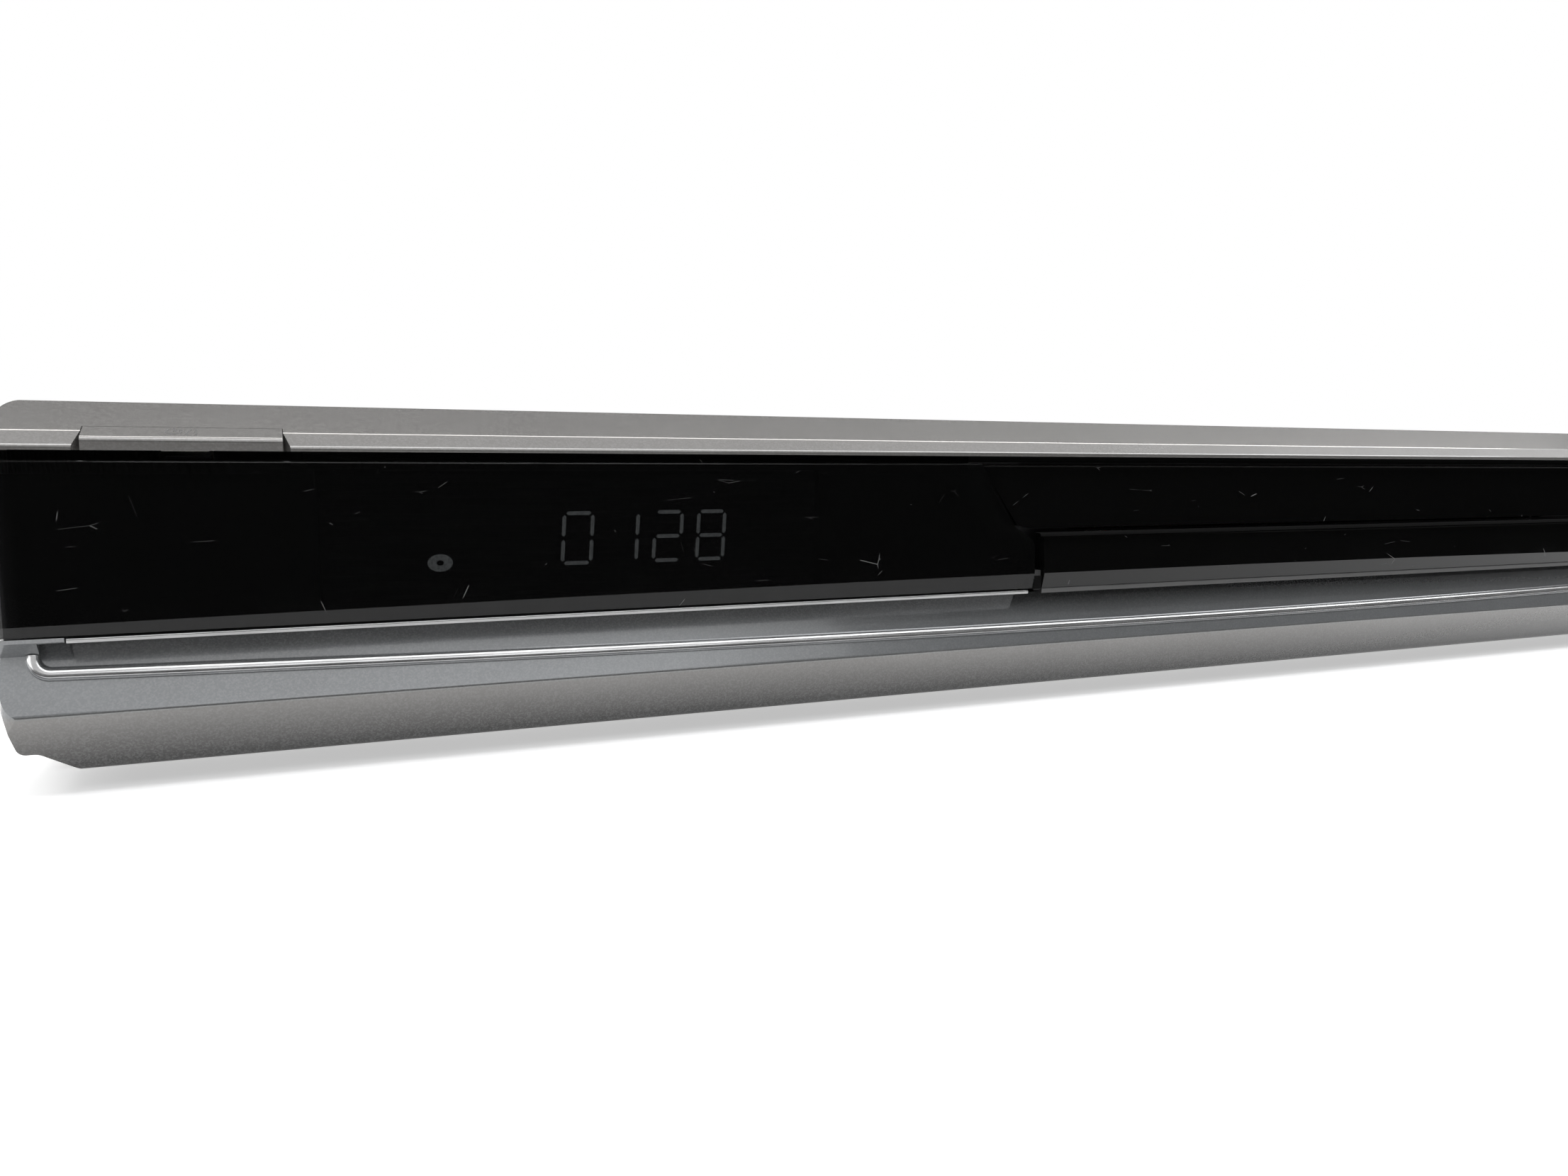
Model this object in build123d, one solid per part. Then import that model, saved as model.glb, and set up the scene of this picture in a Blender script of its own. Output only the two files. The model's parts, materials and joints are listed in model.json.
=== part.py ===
from build123d import *
from math import atan2, cos, degrees, hypot, pi, radians, sin, sqrt
import os

# Slim disc player, lying flat. X runs to the viewer's right, Y from the front to the back, Z up.
# The origin is on the ground under the middle of the player. All sizes are in millimetres.

# Overall size
width = 430.0
depth = 249.0
height = 55.0
wall = 2.0
sheet = 1.0
seam = 0.3
past = 1.0
front_y = -depth / 2
rear_y = depth / 2
side_x = width / 2

# Side view of the silver front moulding: how far each edge lies behind the foremost edge, and how high
brow_top_back = 17.0
brow_edge_back = 5.0
brow_edge_z = height - 4.4
nose_back = 2.5
nose_z = brow_edge_z - 2.05
nose_face = 0.6
panel_wall_back = 7.5
face_back = 4.6
face_top_z = 19.6
ledge_z = 21.2
foremost_z = 11.9
chin_back = 3.0
chin_z = 3.4
chin_bulge = 0.45
brow_round = 1.5
nose_round = 0.8
foremost_round = 1.0
chin_round = 1.2
lower_wall = 2.3

# Ends of the front moulding
end_top_round = 2.4
end_taper = 1.9
end_taper_z = 13.5
end_foot_rise = 3.05
end_foot_length = 4.2
end_foot_ramp = 4.8
end_plan_round = 2.5
end_solid = 12.0
end_block_back = 2.8
end_block_nose = 0.55

# Recess along the sloping lower face, with a raised bead round its rim
recess_end = 4.6
recess_depth = 0.8
recess_rim_z = 18.0
recess_bow = 2.4
recess_corner = 1.5
bead_width = 1.6
bead_height = 0.35
bead_round = 0.25

# Gloss black panels
panel_top_z = 46.6
panel_foot_z = 22.5
panel_top_back = 3.5
panel_lean = 1.7
panel_bow = 0.5
panel_end_gap = 0.1
panel_top_round = 0.4
panel_flange = 1.4
bevel_height = 1.9
bevel_cut = 0.5
slant_top_x = -57.8
slant_low_x = -50.2
slant_low_z = 34.4
seam_x = -45.9
seam_z = 31.8
slant_round = 2.5

# Silver strips under the black panels
strip_top_z = 22.15
strip_height = 0.75
strip_back = 2.3
strip_start = 8.2
strip_round = 0.25

# Flap along the lower right
flap_left = -43.6
flap_end = 5.0
flap_top_z = 33.2
flap_round = 1.1
flap_thick = 3.0
flap_pivot_back = 4.2
flap_pivot_z = 23.6
flap_pin_radius = 1.0
flap_pin_length = 1.2
flap_ear = 1.6
ear_gap = 0.35
ear_half = 1.9

# Brow buttons
button_width = 25.4
key_board_half = 12.0
key_board_deep = 12.0
button_start = 11.2
button_depth = 4.2
button_travel = 0.6
button_round = 0.8
button_skin = 1.6
button_front = 2.4
button_tongue = 6.0
tongue_thick = 1.5
tongue_reach = 5.0
notch_flare = 0.9
button_clear = 0.12

# Disc tray
disc_diameter = 120.0
disc_clear = 0.6
disc_from_front = 75.5
tray_x = 41.0
tray_width = 140.0
tray_behind_disc = 93.0
tray_floor_z = 39.5
tray_rim = 2.0
tray_below = 3.0
tray_flange = 3.5
tray_flange_thick = 2.0
tray_corner = 4.0
small_disc_step = 0.8
slot_width = 49.0
slot_behind_disc = 73.0
finger_radius = 14.0
finger_margin = 2.5
tray_front_reach = 89.0
tray_front_set_back = 1.2
tray_front_gap = 0.9
clip_inset = 12.0
clip_width = 10.0
clip_fit = 0.2

# Gear train that drives the tray
rack_module = 1.0
pinion_teeth = 16
rack_inset = 9.0
rack_height = 2.6
rack_back = 3.2
gear_from_front = 30.5
large_module = 0.8
large_teeth = 40
small_teeth = 15
gear_thick = 2.6
backlash = 0.24
belt_wheel_radius = 11.0
motor_wheel_radius = 3.0
wheel_lip = 1.0
belt_section = 1.3
train_angle = -10.0
motor_offset_x = 31.0
gear_post = 2.0
pulley_post = 1.5
post_fit = 0.05
post_shoulder = 2.0

# Loader frame
loader_side = 8.0
loader_from_front = 13.5
loader_behind_disc = 111.0
loader_floor_z = 16.0
loader_top_z = 45.5
loader_leg = 7.0
loader_leg_inset = 8.0
rail_thick = 1.8
bridge_depth = 40.0
bridge_thick = 1.2
bridge_rib = 3.0

# Traverse unit that lifts the turntable into the disc
lift = 8.0
traverse_z = 20.0
traverse_thick = 2.5
traverse_half_width = 44.0
traverse_before_disc = 26.0
traverse_behind_disc = 83.0
traverse_corner = 5.0
isolator_inset = 6.0
isolator_radius = 3.0
turntable_radius = 14.0
cone_radius = 7.3
cam_ratio = 2.0
rod_radius = 1.5
rod_spacing = 48.0
rod_seat = 3.0
rod_rise = 2.2
rod_cap = 2.6
seat_half = 1.5
rods_from_rear = 5.0
cam_before_traverse = 4.0
screw_beside_rod = 6.0
sled_behind_disc = 24.0
sled_length = 20.0
clamper_radius = 12.0
clamper_flange = 2.4
slide_fit = 0.1
sled_rise = 6.0
screw_radius = 1.5
pin_spread = 26.0
lift_pin_radius = 1.2
cam_thick = 2.0
cam_past_pins = 12.0
cam_rise = 14.0
feed_motor_radius = 3.8
feed_motor_front = 13.0
feed_motor_rear = 3.2
feed_plate_rear = 1.9
feed_plate_half = 5.5
spindle_motor_radius = 12.0
spindle_motor_height = 4.6
loading_motor_radius = 11.5
loading_motor_length = 10.0
shaft_radius = 1.0

# Casing
cover_inset = 1.2
rear_panel_from_rear = 5.0
chassis_z = 4.0
chassis_rim = 10.0
fold_round = 2.0
vent_count = 9
vent_pitch = 7.0
vent_width = 3.0
vent_from_rear = 89.5
vent_low_z = 26.0
vent_high_z = 40.0
floor_slot_width = 3.0
floor_slot_length = 20.0
floor_slot_pitch = 12.0
floor_slot_from_side = 65.0
floor_slot_from_front = 84.5
foot_radius = 11.0
foot_chamfer = 1.0
foot_from_side = 45.0
foot_from_front = 36.5
foot_from_rear = 32.5

# Fan in the rear panel
fan_size = 40.0
fan_depth = 10.0
fan_x = 60.0
fan_z = 27.0
fan_hub = 9.0
fan_blades = 7
fan_pitch_angle = 38.0
fan_tip_gap = 0.6
fan_wall = 1.2
grille_radius = 17.5
grille_pitch = 4.4
grille_slot = 2.6

# Display behind the smoked window
display_from_end = 41.0
display_width = 84.0
display_low_z = 25.0
display_high_z = 45.0
display_thick = 5.0
display_round = 0.8
display_gap = 0.1
display_board_over = 10.0

# Sockets and keys behind the flap, from the right end of the player
usb_from_end = 67.0
usb_width = 13.2
usb_height = 5.8
usb_z = 24.6
usb_deep = 14.0
usb_metal = 0.3
card_from_end = 39.0
card_width = 25.0
card_height = 2.6
card_z = 26.0
card_deep = 26.0
play_from_end = 19.0
stop_from_end = 10.0
key_z = 28.3
key_radius = 2.8
key_stand = 0.9
key_travel = 0.5
key_collar = 0.8
key_collar_thick = 0.8
key_fit = 0.2
switch_width = 6.0
switch_height = 2.4
rest_gap = 0.1

# Sockets in the rear panel
socket_low_z = 14.0
socket_gap = 0.2
socket_proud = 0.6
inlet_from_side = 30.0
inlet_width = 21.0
inlet_height = 15.0
inlet_corner = 3.0
inlet_wall = 2.0
inlet_proud = 1.2
inlet_deep = 16.0
inlet_pin = 1.2
inlet_pin_spread = 4.0
lan_share = 0.2558
lan_width = 16.0
lan_height = 13.6
hdmi_share = 0.186
hdmi_width = 15.6
hdmi_height = 6.2
hdmi_metal = 0.5
optical_share = 0.1326
optical_size = 10.0
jacks_x = -38.0
jack_pitch = 14.0
jack_count = 5
jack_radius = 4.15
jack_rise = 6.0
jack_bore = 1.65
jack_deep = 9.0

# Circuit boards and what stands on them
board = 1.6
board_leg = 4.4
leg_inset = 5.0
front_board_gap = 9.0
front_board_from_side = 6.0
front_board_deep = 32.0
front_leg_inset = 9.5
board_clear = 0.4
main_from_side = 80.0
main_right = 30.0
main_gap = 6.0
main_z = 10.0
main_front_y_back = 64.5
power_from_side = 10.0
power_width = 65.0
power_from_front = 54.5
chip_thick = 2.2
memory_thick = 1.2
chip_size = 27.0
chip_from_left = 23.0
chip_behind_disc = 69.0
memory_deep = 14.0
memory_before_chip = 30.0
memory_pitch = 20.0
flash_from_chip = 37.0
flash_rise = 10.0
flash_deep = 18.0
memory_size = 12.0
sink_over = 4.0
sink_base = 2.0
sink_height = 12.0
sink_fins = 8
sink_fin = 1.4
core_width = 28.0
core_depth = 30.0
core_height = 24.0
bobbin_over = 6.0
bobbin_inset = 3.0
bobbin_lift = 4.0
large_can_radius = 9.0
large_can_height = 28.0
small_can_radius = 6.0
small_can_height = 20.0
small_can_pitch = 16.5
large_can_from_right = 20.0
large_can_from_rear = 36.0
small_can_from_left = 20.0
small_can_from_front = 60.0
core_aside = 3.5
core_behind = 11.0

# Screws
cover_screw_z = 12.0
rear_screw_z = 49.0
cover_screw_head = 3.4
rear_screw_head = 2.8
screw_head_height = 1.4
screw_shank = 1.5
screw_length = 5.0
screw_hole = 1.7
screw_from_ends = 23.0
rear_screw_from_side = 20.0

# Ranges of the joints in the record
flap_swing = 90.0
tray_travel = 138.0
sled_travel = 34.0

# Places worked out from the sizes above
wall_front_y = front_y + panel_wall_back
wall_rear_y = wall_front_y + wall
brow_top_y = front_y + brow_top_back
brow_edge_y = front_y + brow_edge_back
nose_y = front_y + nose_back
nose_low_z = nose_z - nose_face
panel_top_y = front_y + panel_top_back
panel_foot_y = panel_top_y - panel_lean
strip_y = front_y + strip_back
strip_low_z = strip_top_z - strip_height
pivot_y = front_y + flap_pivot_back
flap_right = side_x - flap_end
usb_x = side_x - usb_from_end
card_x = side_x - card_from_end
play_x = side_x - play_from_end
stop_x = side_x - stop_from_end
display_left = -side_x + display_from_end
display_right = display_left + display_width
disc_y = front_y + disc_from_front
tray_rear_y = disc_y + tray_behind_disc
slot_rear_y = disc_y + slot_behind_disc
tray_bottom_z = tray_floor_z - tray_below
tray_top_z = tray_floor_z + tray_rim
tray_front_right = tray_x + tray_front_reach
gear_y = front_y + gear_from_front
pinion_radius = rack_module * pinion_teeth / 2
large_radius = large_module * large_teeth / 2
small_radius = large_module * small_teeth / 2
rack_x = tray_x - tray_width / 2 + rack_inset
gear_x = rack_x + pinion_radius
train_distance = large_radius + small_radius
pulley_x = gear_x + train_distance * cos(radians(train_angle))
pulley_y = gear_y + train_distance * sin(radians(train_angle))
motor_x = pulley_x + motor_offset_x
motor_y = pulley_y
belt_half = belt_section / 2 + 0.85
belt_z = loader_floor_z + wall + 4.5
large_gear_z = belt_z + 4.5
table_z = tray_bottom_z - 3.6
table_thick = 2.9
tongue_low_z = nose_low_z - 0.1
tongue_top_z = tongue_low_z + tongue_thick
sub_front_y = wall_front_y + 1.0
sub_rear_y = sub_front_y + wall
bay_left = flap_left - ear_gap - flap_ear - 0.1
bay_right = flap_right + ear_gap + flap_ear + 0.1
tray_face_y = wall_front_y - 0.2
tray_gate_low = tray_bottom_z - rack_height - 0.6
loader_half_width = tray_width / 2 + loader_side
loader_front_y = front_y + loader_from_front
loader_rear_y = disc_y + loader_behind_disc
traverse_front_y = disc_y - traverse_before_disc
traverse_rear_y = disc_y + traverse_behind_disc
traverse_top_z = traverse_z + traverse_thick
sled_half = rod_spacing / 2 - rod_radius - 2.0
rod_z = traverse_top_z + rod_rise
seat_top_z = rod_z + rod_cap
sled_y = disc_y + sled_behind_disc
rods_front_y = disc_y + turntable_radius + seat_half
rods_rear_y = traverse_rear_y - rods_from_rear
screw_x = tray_x + rod_spacing / 2 + screw_beside_rod
lift_pin_z = traverse_z + traverse_thick / 2
cam_y = traverse_front_y - cam_before_traverse
key_rear_y = sub_rear_y + key_travel + rest_gap + key_collar_thick
front_switch_y = key_rear_y + key_travel + rest_gap
key_switch_z = tongue_low_z - button_travel - rest_gap - switch_height
rear_panel_y = rear_y - rear_panel_from_rear
inlet_x = -side_x + inlet_from_side
lan_x = -width * lan_share
hdmi_x = -width * hdmi_share
optical_x = -width * optical_share
board_rear_y = rear_panel_y - sheet - 0.2
main_left = -side_x + main_from_side
main_front = loader_rear_y + main_gap
power_left = -side_x + power_from_side
power_right = power_left + power_width
power_front = front_y + power_from_front
foot_x = side_x - foot_from_side
foot_front_y = front_y + foot_from_front
foot_rear_y = rear_y - foot_from_rear


def block(x0, x1, y0, y1, z0, z1):
    """A box between two corners."""
    size = Box(x1 - x0, y1 - y0, z1 - z0)
    return Pos((x0 + x1) / 2, (y0 + y1) / 2, (z0 + z1) / 2) * size


def rod(start, end, radius):
    """A round bar between two points."""
    start, end = Vector(*start), Vector(*end)
    along = end - start
    face = Plane(origin=start, z_dir=along) * Circle(radius)
    return extrude(face, amount=along.length)


def flatted_rod(start, end, radius, flats=12):
    """A small bar between two points, round within its flats."""
    start, end = Vector(*start), Vector(*end)
    along = end - start
    face = Plane(origin=start, z_dir=along) * RegularPolygon(radius, flats)
    return extrude(face, amount=along.length)


def upright(x, y, z0, z1, radius):
    """A round bar standing at a place."""
    return rod((x, y, z0), (x, y, z1), radius)


def lengthwise(x, z, y0, y1, radius):
    """A round bar that runs from the front to the back."""
    return rod((x, y0, z), (x, y1, z), radius)


def face_of(*lines):
    """A flat face inside lines that meet end to end."""
    edges = [edge for line in lines for edge in line.edges()]
    return Face(Wire(edges))


def rounded(face, rounds):
    """A flat face with some of its corners rounded: pairs of a point and a radius."""
    for point, radius in rounds:
        corner = min(face.vertices(), key=lambda vertex: (Vector(*vertex) - Vector(*point)).length)
        face = face.fillet_2d(radius, [corner])
    return face


def side_profile(points, x0, x1):
    """Points (y, z) of a side view, drawn out along X."""
    outline = Polyline([(x0, y, z) for y, z in points], close=True)
    return extrude(face_of(outline), amount=x1 - x0, dir=(1, 0, 0))


def front_profile(points, y0, y1):
    """Points (x, z) of a front view, drawn out along Y."""
    outline = Polyline([(x, y0, z) for x, z in points], close=True)
    return extrude(face_of(outline), amount=y1 - y0, dir=(0, 1, 0))


def plan_profile(points, z0, z1):
    """Points (x, y) of a plan, drawn out along Z."""
    outline = Polyline([(x, y, z0) for x, y in points], close=True)
    return extrude(face_of(outline), amount=z1 - z0, dir=(0, 0, 1))


def vertical_edges(part, radius, picked=None):
    """Round the upright edges of a part."""
    edges = part.edges().filter_by(Axis.Z)
    if picked:
        edges = edges.filter_by(picked)
    return fillet(edges, radius)


def both_sides(part):
    """A part and its mirror image on the other side of the middle."""
    return [part, mirror(part, about=Plane.YZ)]


def group(*parts):
    """Separate solids that share one node."""
    solids = [solid for part in parts for solid in part.solids()]
    return Compound(children=solids)


# Front moulding

def brow_slope_z(y):
    """Height of the sloping brow at a distance y."""
    share = (y - brow_edge_y) / (brow_top_y - brow_edge_y)
    return brow_edge_z + share * (height - brow_edge_z)


def lower_face_y(z):
    """Where the sloping lower face lies at a height z."""
    share = (z - foremost_z) / (face_top_z - foremost_z)
    return front_y + share * face_back


def bezel_section(x0, x1):
    """The full section of the front moulding, its edges rounded and its chin an arc."""
    outline = Polyline(
        (x0, front_y, foremost_z),
        (x0, front_y + face_back, face_top_z),
        (x0, front_y + face_back, ledge_z),
        (x0, wall_front_y, ledge_z),
        (x0, wall_front_y, nose_low_z),
        (x0, nose_y, nose_low_z),
        (x0, nose_y, nose_z),
        (x0, brow_edge_y, brow_edge_z),
        (x0, brow_top_y, height),
        (x0, brow_top_y, chin_z),
        (x0, front_y + chin_back, chin_z),
    )
    middle_y = front_y + chin_back / 2 - chin_bulge
    chin = ThreePointArc(
        (x0, front_y + chin_back, chin_z),
        (x0, middle_y, (foremost_z + chin_z) / 2),
        (x0, front_y, foremost_z),
    )
    section = rounded(face_of(outline, chin), [
        ((x0, nose_y, nose_z), nose_round),
        ((x0, brow_edge_y, brow_edge_z), brow_round),
        ((x0, front_y, foremost_z), foremost_round),
        ((x0, front_y + chin_back, chin_z), chin_round),
    ])
    return extrude(section, amount=x1 - x0, dir=(1, 0, 0))


def bezel_front_view():
    """What the moulding keeps in front view: rounded upper corners, tapered ends and raised feet."""
    y = front_y - past
    foot_z = chin_z + end_foot_rise
    half = [
        (0, chin_z - past),
        (side_x - end_foot_length - end_foot_ramp * (1 + past / end_foot_rise), chin_z - past),
        (side_x - end_foot_length, foot_z),
        (side_x - end_taper, foot_z),
        (side_x, end_taper_z),
        (side_x, height),
        (0, height),
    ]
    right = Polyline([(x, y, z) for x, z in half], close=True)
    view = rounded(face_of(right), [
        ((side_x - end_foot_length, y, foot_z), 2.0),
        ((side_x - end_taper, y, foot_z), 1.2),
        ((side_x, y, height), end_top_round),
    ])
    prism = extrude(view, amount=brow_top_back + 2 * past, dir=(0, 1, 0))
    right_half, left_half = both_sides(prism)
    return right_half + left_half


def bezel_plan_view():
    """What the moulding keeps in plan: its front corners are rounded."""
    plan = block(-side_x, side_x, front_y, brow_top_y + past, chin_z - past, height + past)
    return vertical_edges(plan, end_plan_round, lambda edge: edge.center().Y < front_y + past)


def bezel_hollow():
    """The space inside the moulding, open at the back."""
    top_drop = wall / cos(atan2(height - brow_edge_z, brow_top_y - brow_edge_y))
    points = [
        (brow_top_y + past, height - top_drop),
        (brow_top_y, height - top_drop),
        (wall_front_y, brow_slope_z(wall_front_y) - top_drop),
        (wall_rear_y, brow_slope_z(wall_rear_y) - top_drop - seam),
        (wall_rear_y, ledge_z - wall),
        (lower_face_y(ledge_z - wall) + lower_wall, ledge_z - wall),
        (front_y + lower_wall, foremost_z),
        (front_y + chin_back + wall, chin_z + wall),
        (brow_top_y + past, chin_z + wall),
    ]
    hollow = side_profile(points, -side_x + wall, side_x - wall)
    foot = block(side_x - end_solid, side_x, front_y, brow_top_y + 2 * past, chin_z,
                 chin_z + end_foot_rise + wall)
    for end in both_sides(foot):
        hollow -= end
    return hollow


def recess_prism(grow):
    """Front view of the recess, grown outward: straight above, with a rim that bows down."""
    left, right = -side_x + recess_end - grow, side_x - recess_end + grow
    y, top, low = front_y - past, ledge_z + seam, recess_rim_z - grow
    sides = Polyline((left, y, low), (left, y, top), (right, y, top), (right, y, low))
    rim = ThreePointArc((right, y, low), (0, y, low - recess_bow), (left, y, low))
    prism = extrude(face_of(sides, rim), amount=panel_wall_back + past, dir=(0, 1, 0))
    corners = [edge for edge in prism.edges().filter_by(Axis.Y) if edge.center().Z < low + seam]
    return fillet(corners, recess_corner + grow)


def before_face(out_y, in_y, low_z, high_z):
    """A slab along the sloping lower face, from out_y before it to in_y behind it."""
    points = [
        (lower_face_y(low_z) + in_y, low_z),
        (lower_face_y(high_z) + in_y, high_z),
        (lower_face_y(high_z) - out_y, high_z),
        (lower_face_y(low_z) - out_y, low_z),
    ]
    return side_profile(points, -side_x, side_x)


def face_steepness():
    """A step square to the lower face, over the same step measured along Y."""
    return (face_top_z - foremost_z) / hypot(face_back, face_top_z - foremost_z)


def recess_cutter():
    """The shallow recess under the black panels."""
    inward = recess_depth / face_steepness()
    return recess_prism(0) & before_face(3 * wall, inward, foremost_z, ledge_z + seam)


def recess_bead():
    """The raised bead along the rim of the recess, its two long edges rounded."""
    outward = bead_height / face_steepness()
    ring = recess_prism(bead_width) - recess_prism(0)
    bead = ring & before_face(outward, wall / 4, foremost_z, face_top_z)
    steep = Vector(0, -face_steepness(), sqrt(1 - face_steepness() ** 2))
    crest = Vector(0, front_y - outward, foremost_z).dot(steep)
    on_crest = [
        edge for edge in bead.edges()
        if all(abs(edge.position_at(end).dot(steep) - crest) < 0.01 for end in (0, 1))
    ]
    long_edges = [edge for edge in on_crest if edge.center().Z < face_top_z - 0.01]
    return fillet(long_edges, bead_round)


def end_block(x0, x1):
    """The end of the ledge: it rises to the foot of the black panel, undercut in front."""
    y, top = front_y + end_block_back, panel_foot_z - seam
    points = [
        (y, top),
        (wall_front_y + past, top),
        (wall_front_y + past, face_top_z),
        (front_y + face_back, face_top_z),
        (y, top - end_block_nose),
    ]
    return side_profile(points, x0, x1)


def notch_outline(spare):
    """Front view of the notch for a brow button, left one, widened by spare."""
    left = -side_x + button_start - spare
    right = left + button_width + 2 * spare
    return left, right


def brow_notch():
    """Opening in the brow for the left button, with flared cheeks in front."""
    left, right = notch_outline(button_clear)
    back = nose_y + button_depth + button_clear
    pocket = block(left, right, nose_y - past, back, nose_low_z - past, height)
    cheek = [
        (left - notch_flare, nose_y - 0.01),
        (right + notch_flare, nose_y - 0.01),
        (right, brow_edge_y),
        (left, brow_edge_y),
    ]
    return pocket + plan_profile(cheek, nose_low_z - past, height)


def tongue_space(y0, y1, top):
    """The space that the tongue of the left button needs, down to the end of its travel."""
    middle = -side_x + button_start + button_width / 2
    half = button_tongue / 2 + 0.5
    return block(middle - half, middle + half, y0, y1, tongue_low_z - button_travel - 0.5, top)


def make_front_bezel():
    shell = bezel_section(-side_x, side_x) & bezel_front_view()
    shell &= bezel_plan_view()
    shell -= bezel_hollow()
    shell += end_block(-side_x, -side_x + strip_start - seam)
    shell += end_block(flap_right + flap_ear + 2 * ear_gap, side_x)
    shell -= recess_cutter()
    shell += recess_bead()
    display_window = block(display_left - seam, display_right + seam, wall_front_y - past, wall_rear_y + past,
                           display_low_z - seam, display_high_z + seam)
    shell -= display_window
    bay = block(bay_left, bay_right, wall_front_y - past, wall_rear_y + past, ledge_z, nose_low_z)
    shell -= bay
    slot = tongue_space(wall_front_y - past, wall_rear_y + 4 * wall, tongue_top_z + 2 * button_clear)
    for cutter in (brow_notch(), slot):
        for one in both_sides(cutter):
            shell -= one
    return shell


# Display behind the smoked panel

def make_display_tube():
    front = wall_front_y + display_gap
    glass = block(display_left, display_right, front, front + display_thick, display_low_z, display_high_z)
    return vertical_edges(glass, display_round)


def make_display_board():
    front = wall_front_y + display_gap + display_thick
    return block(display_left - display_board_over / 2, display_right + display_board_over,
                 front, front + board, display_low_z - 4.0, display_high_z - 1.0)


# Gloss black panels

def gloss_face(back_y):
    """A wide blank with the bowed, leaning front face, a rounded top edge and the bevel along its foot."""
    tall = panel_top_z - panel_foot_z
    half = side_x - panel_end_gap
    straight = Polyline((half, panel_top_y, panel_top_z), (half, back_y, panel_top_z),
                        (-half, back_y, panel_top_z), (-half, panel_top_y, panel_top_z))
    bow = ThreePointArc((-half, panel_top_y, panel_top_z), (0, panel_top_y - panel_bow, panel_top_z),
                        (half, panel_top_y, panel_top_z))
    lean = Vector(0, -panel_lean, -tall)
    blank = extrude(face_of(straight, bow), amount=lean.length, dir=lean)
    top_edge = blank.edges().group_by(Axis.Z)[-1].sort_by(Axis.Y)[0]
    blank = fillet(top_edge, panel_top_round)
    blank &= block(-side_x, side_x, front_y - wall, back_y, panel_foot_z, panel_top_z)
    toe_y = panel_foot_y + bevel_cut
    reach = bevel_cut + panel_bow + wall
    bevel = [
        (toe_y, panel_foot_z),
        (toe_y - reach, panel_foot_z + bevel_height / bevel_cut * reach),
        (toe_y - reach, panel_foot_z - past),
        (toe_y, panel_foot_z - past),
    ]
    return blank - side_profile(bevel, -side_x, side_x)


def top_flange(x0, x1):
    """Black strip along the back of a panel, up to the underside of the nose."""
    return block(x0, x1, wall_front_y - panel_flange, wall_front_y, panel_top_z - wall, nose_low_z - 0.1)


def slanted_outline():
    """Front view of the window panel: its right edge slants, rounds and drops to the seam."""
    return [
        (-side_x + panel_end_gap, panel_foot_z - past),
        (-side_x + panel_end_gap, panel_top_z + past),
        (slant_top_x - 0.6, panel_top_z + past),
        (slant_low_x, slant_low_z),
        (seam_x, seam_z),
        (seam_x, panel_foot_z - past),
    ]


def make_window_panel():
    mask = front_profile(slanted_outline(), front_y - wall, wall_front_y)
    knuckles = [
        edge for edge in mask.edges().filter_by(Axis.Y)
        if seam_z - seam < edge.center().Z < slant_low_z + seam
    ]
    mask = fillet(knuckles, slant_round)
    panel = gloss_face(wall_front_y) & mask
    panel += top_flange(-side_x + panel_end_gap, slant_top_x - past)
    return panel - tongue_space(wall_front_y - wall, wall_front_y + past, nose_z)


def make_right_panel():
    upper = block(tray_front_right + tray_front_gap, side_x, front_y - wall, wall_front_y,
                  flap_top_z + tray_front_gap, panel_top_z)
    end = block(flap_right + flap_ear + 2 * ear_gap, side_x, front_y - wall, wall_front_y,
                panel_foot_z, panel_top_z)
    panel = gloss_face(wall_front_y) & (upper + end)
    panel += top_flange(tray_front_right + tray_front_gap, side_x - panel_end_gap)
    return panel - mirror(tongue_space(wall_front_y - wall, wall_front_y + past, nose_z), about=Plane.YZ)


def strip(x0, x1, back_y, top_z):
    """Thin silver strip with a rounded nose."""
    bar = block(x0, x1, strip_y, back_y, strip_low_z, top_z)
    nose = bar.edges().filter_by(Axis.X).group_by(Axis.Y)[0]
    return fillet(nose, strip_round)


def make_window_trim():
    return strip(-side_x + strip_start, seam_x - tray_front_gap, wall_front_y, strip_top_z)


# Inner panel behind the tray front and the flap

def flap_ear_place(side):
    """The X range of the fixed ear beside one end of the flap."""
    if side < 0:
        return flap_left - ear_gap - flap_ear, flap_left - ear_gap
    return flap_right + ear_gap, flap_right + ear_gap + flap_ear


def make_sub_panel():
    plate = block(bay_left, bay_right, sub_front_y, sub_rear_y, ledge_z + seam, nose_low_z - seam)
    gate_half = tray_width / 2 + tray_flange + 0.8
    y0, y1 = sub_front_y - past, sub_rear_y + past
    plate -= block(tray_x - gate_half, tray_x + gate_half, y0, y1, tray_gate_low, panel_top_z - wall)
    for side in (-1, 1):
        x0, x1 = flap_ear_place(side)
        plate += block(x0, x1, pivot_y - ear_half, sub_front_y, flap_pivot_z - 1.4, flap_pivot_z + 2.4)
        plate -= rod((x0 - past, pivot_y, flap_pivot_z), (x1 + past, pivot_y, flap_pivot_z),
                     flap_pin_radius + post_fit)
    plate -= block(usb_x - usb_width / 2, usb_x + usb_width / 2, y0, y1, usb_z, usb_z + usb_height)
    plate -= block(card_x - card_width / 2, card_x + card_width / 2, y0, y1, card_z, card_z + card_height)
    for x in (play_x, stop_x):
        plate -= lengthwise(x, key_z, y0, y1, key_radius + key_fit)
    return plate - mirror(tongue_space(y0, y1, nose_z), about=Plane.YZ)


# Flap

def flap_back_y():
    return panel_foot_y + flap_thick


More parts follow.
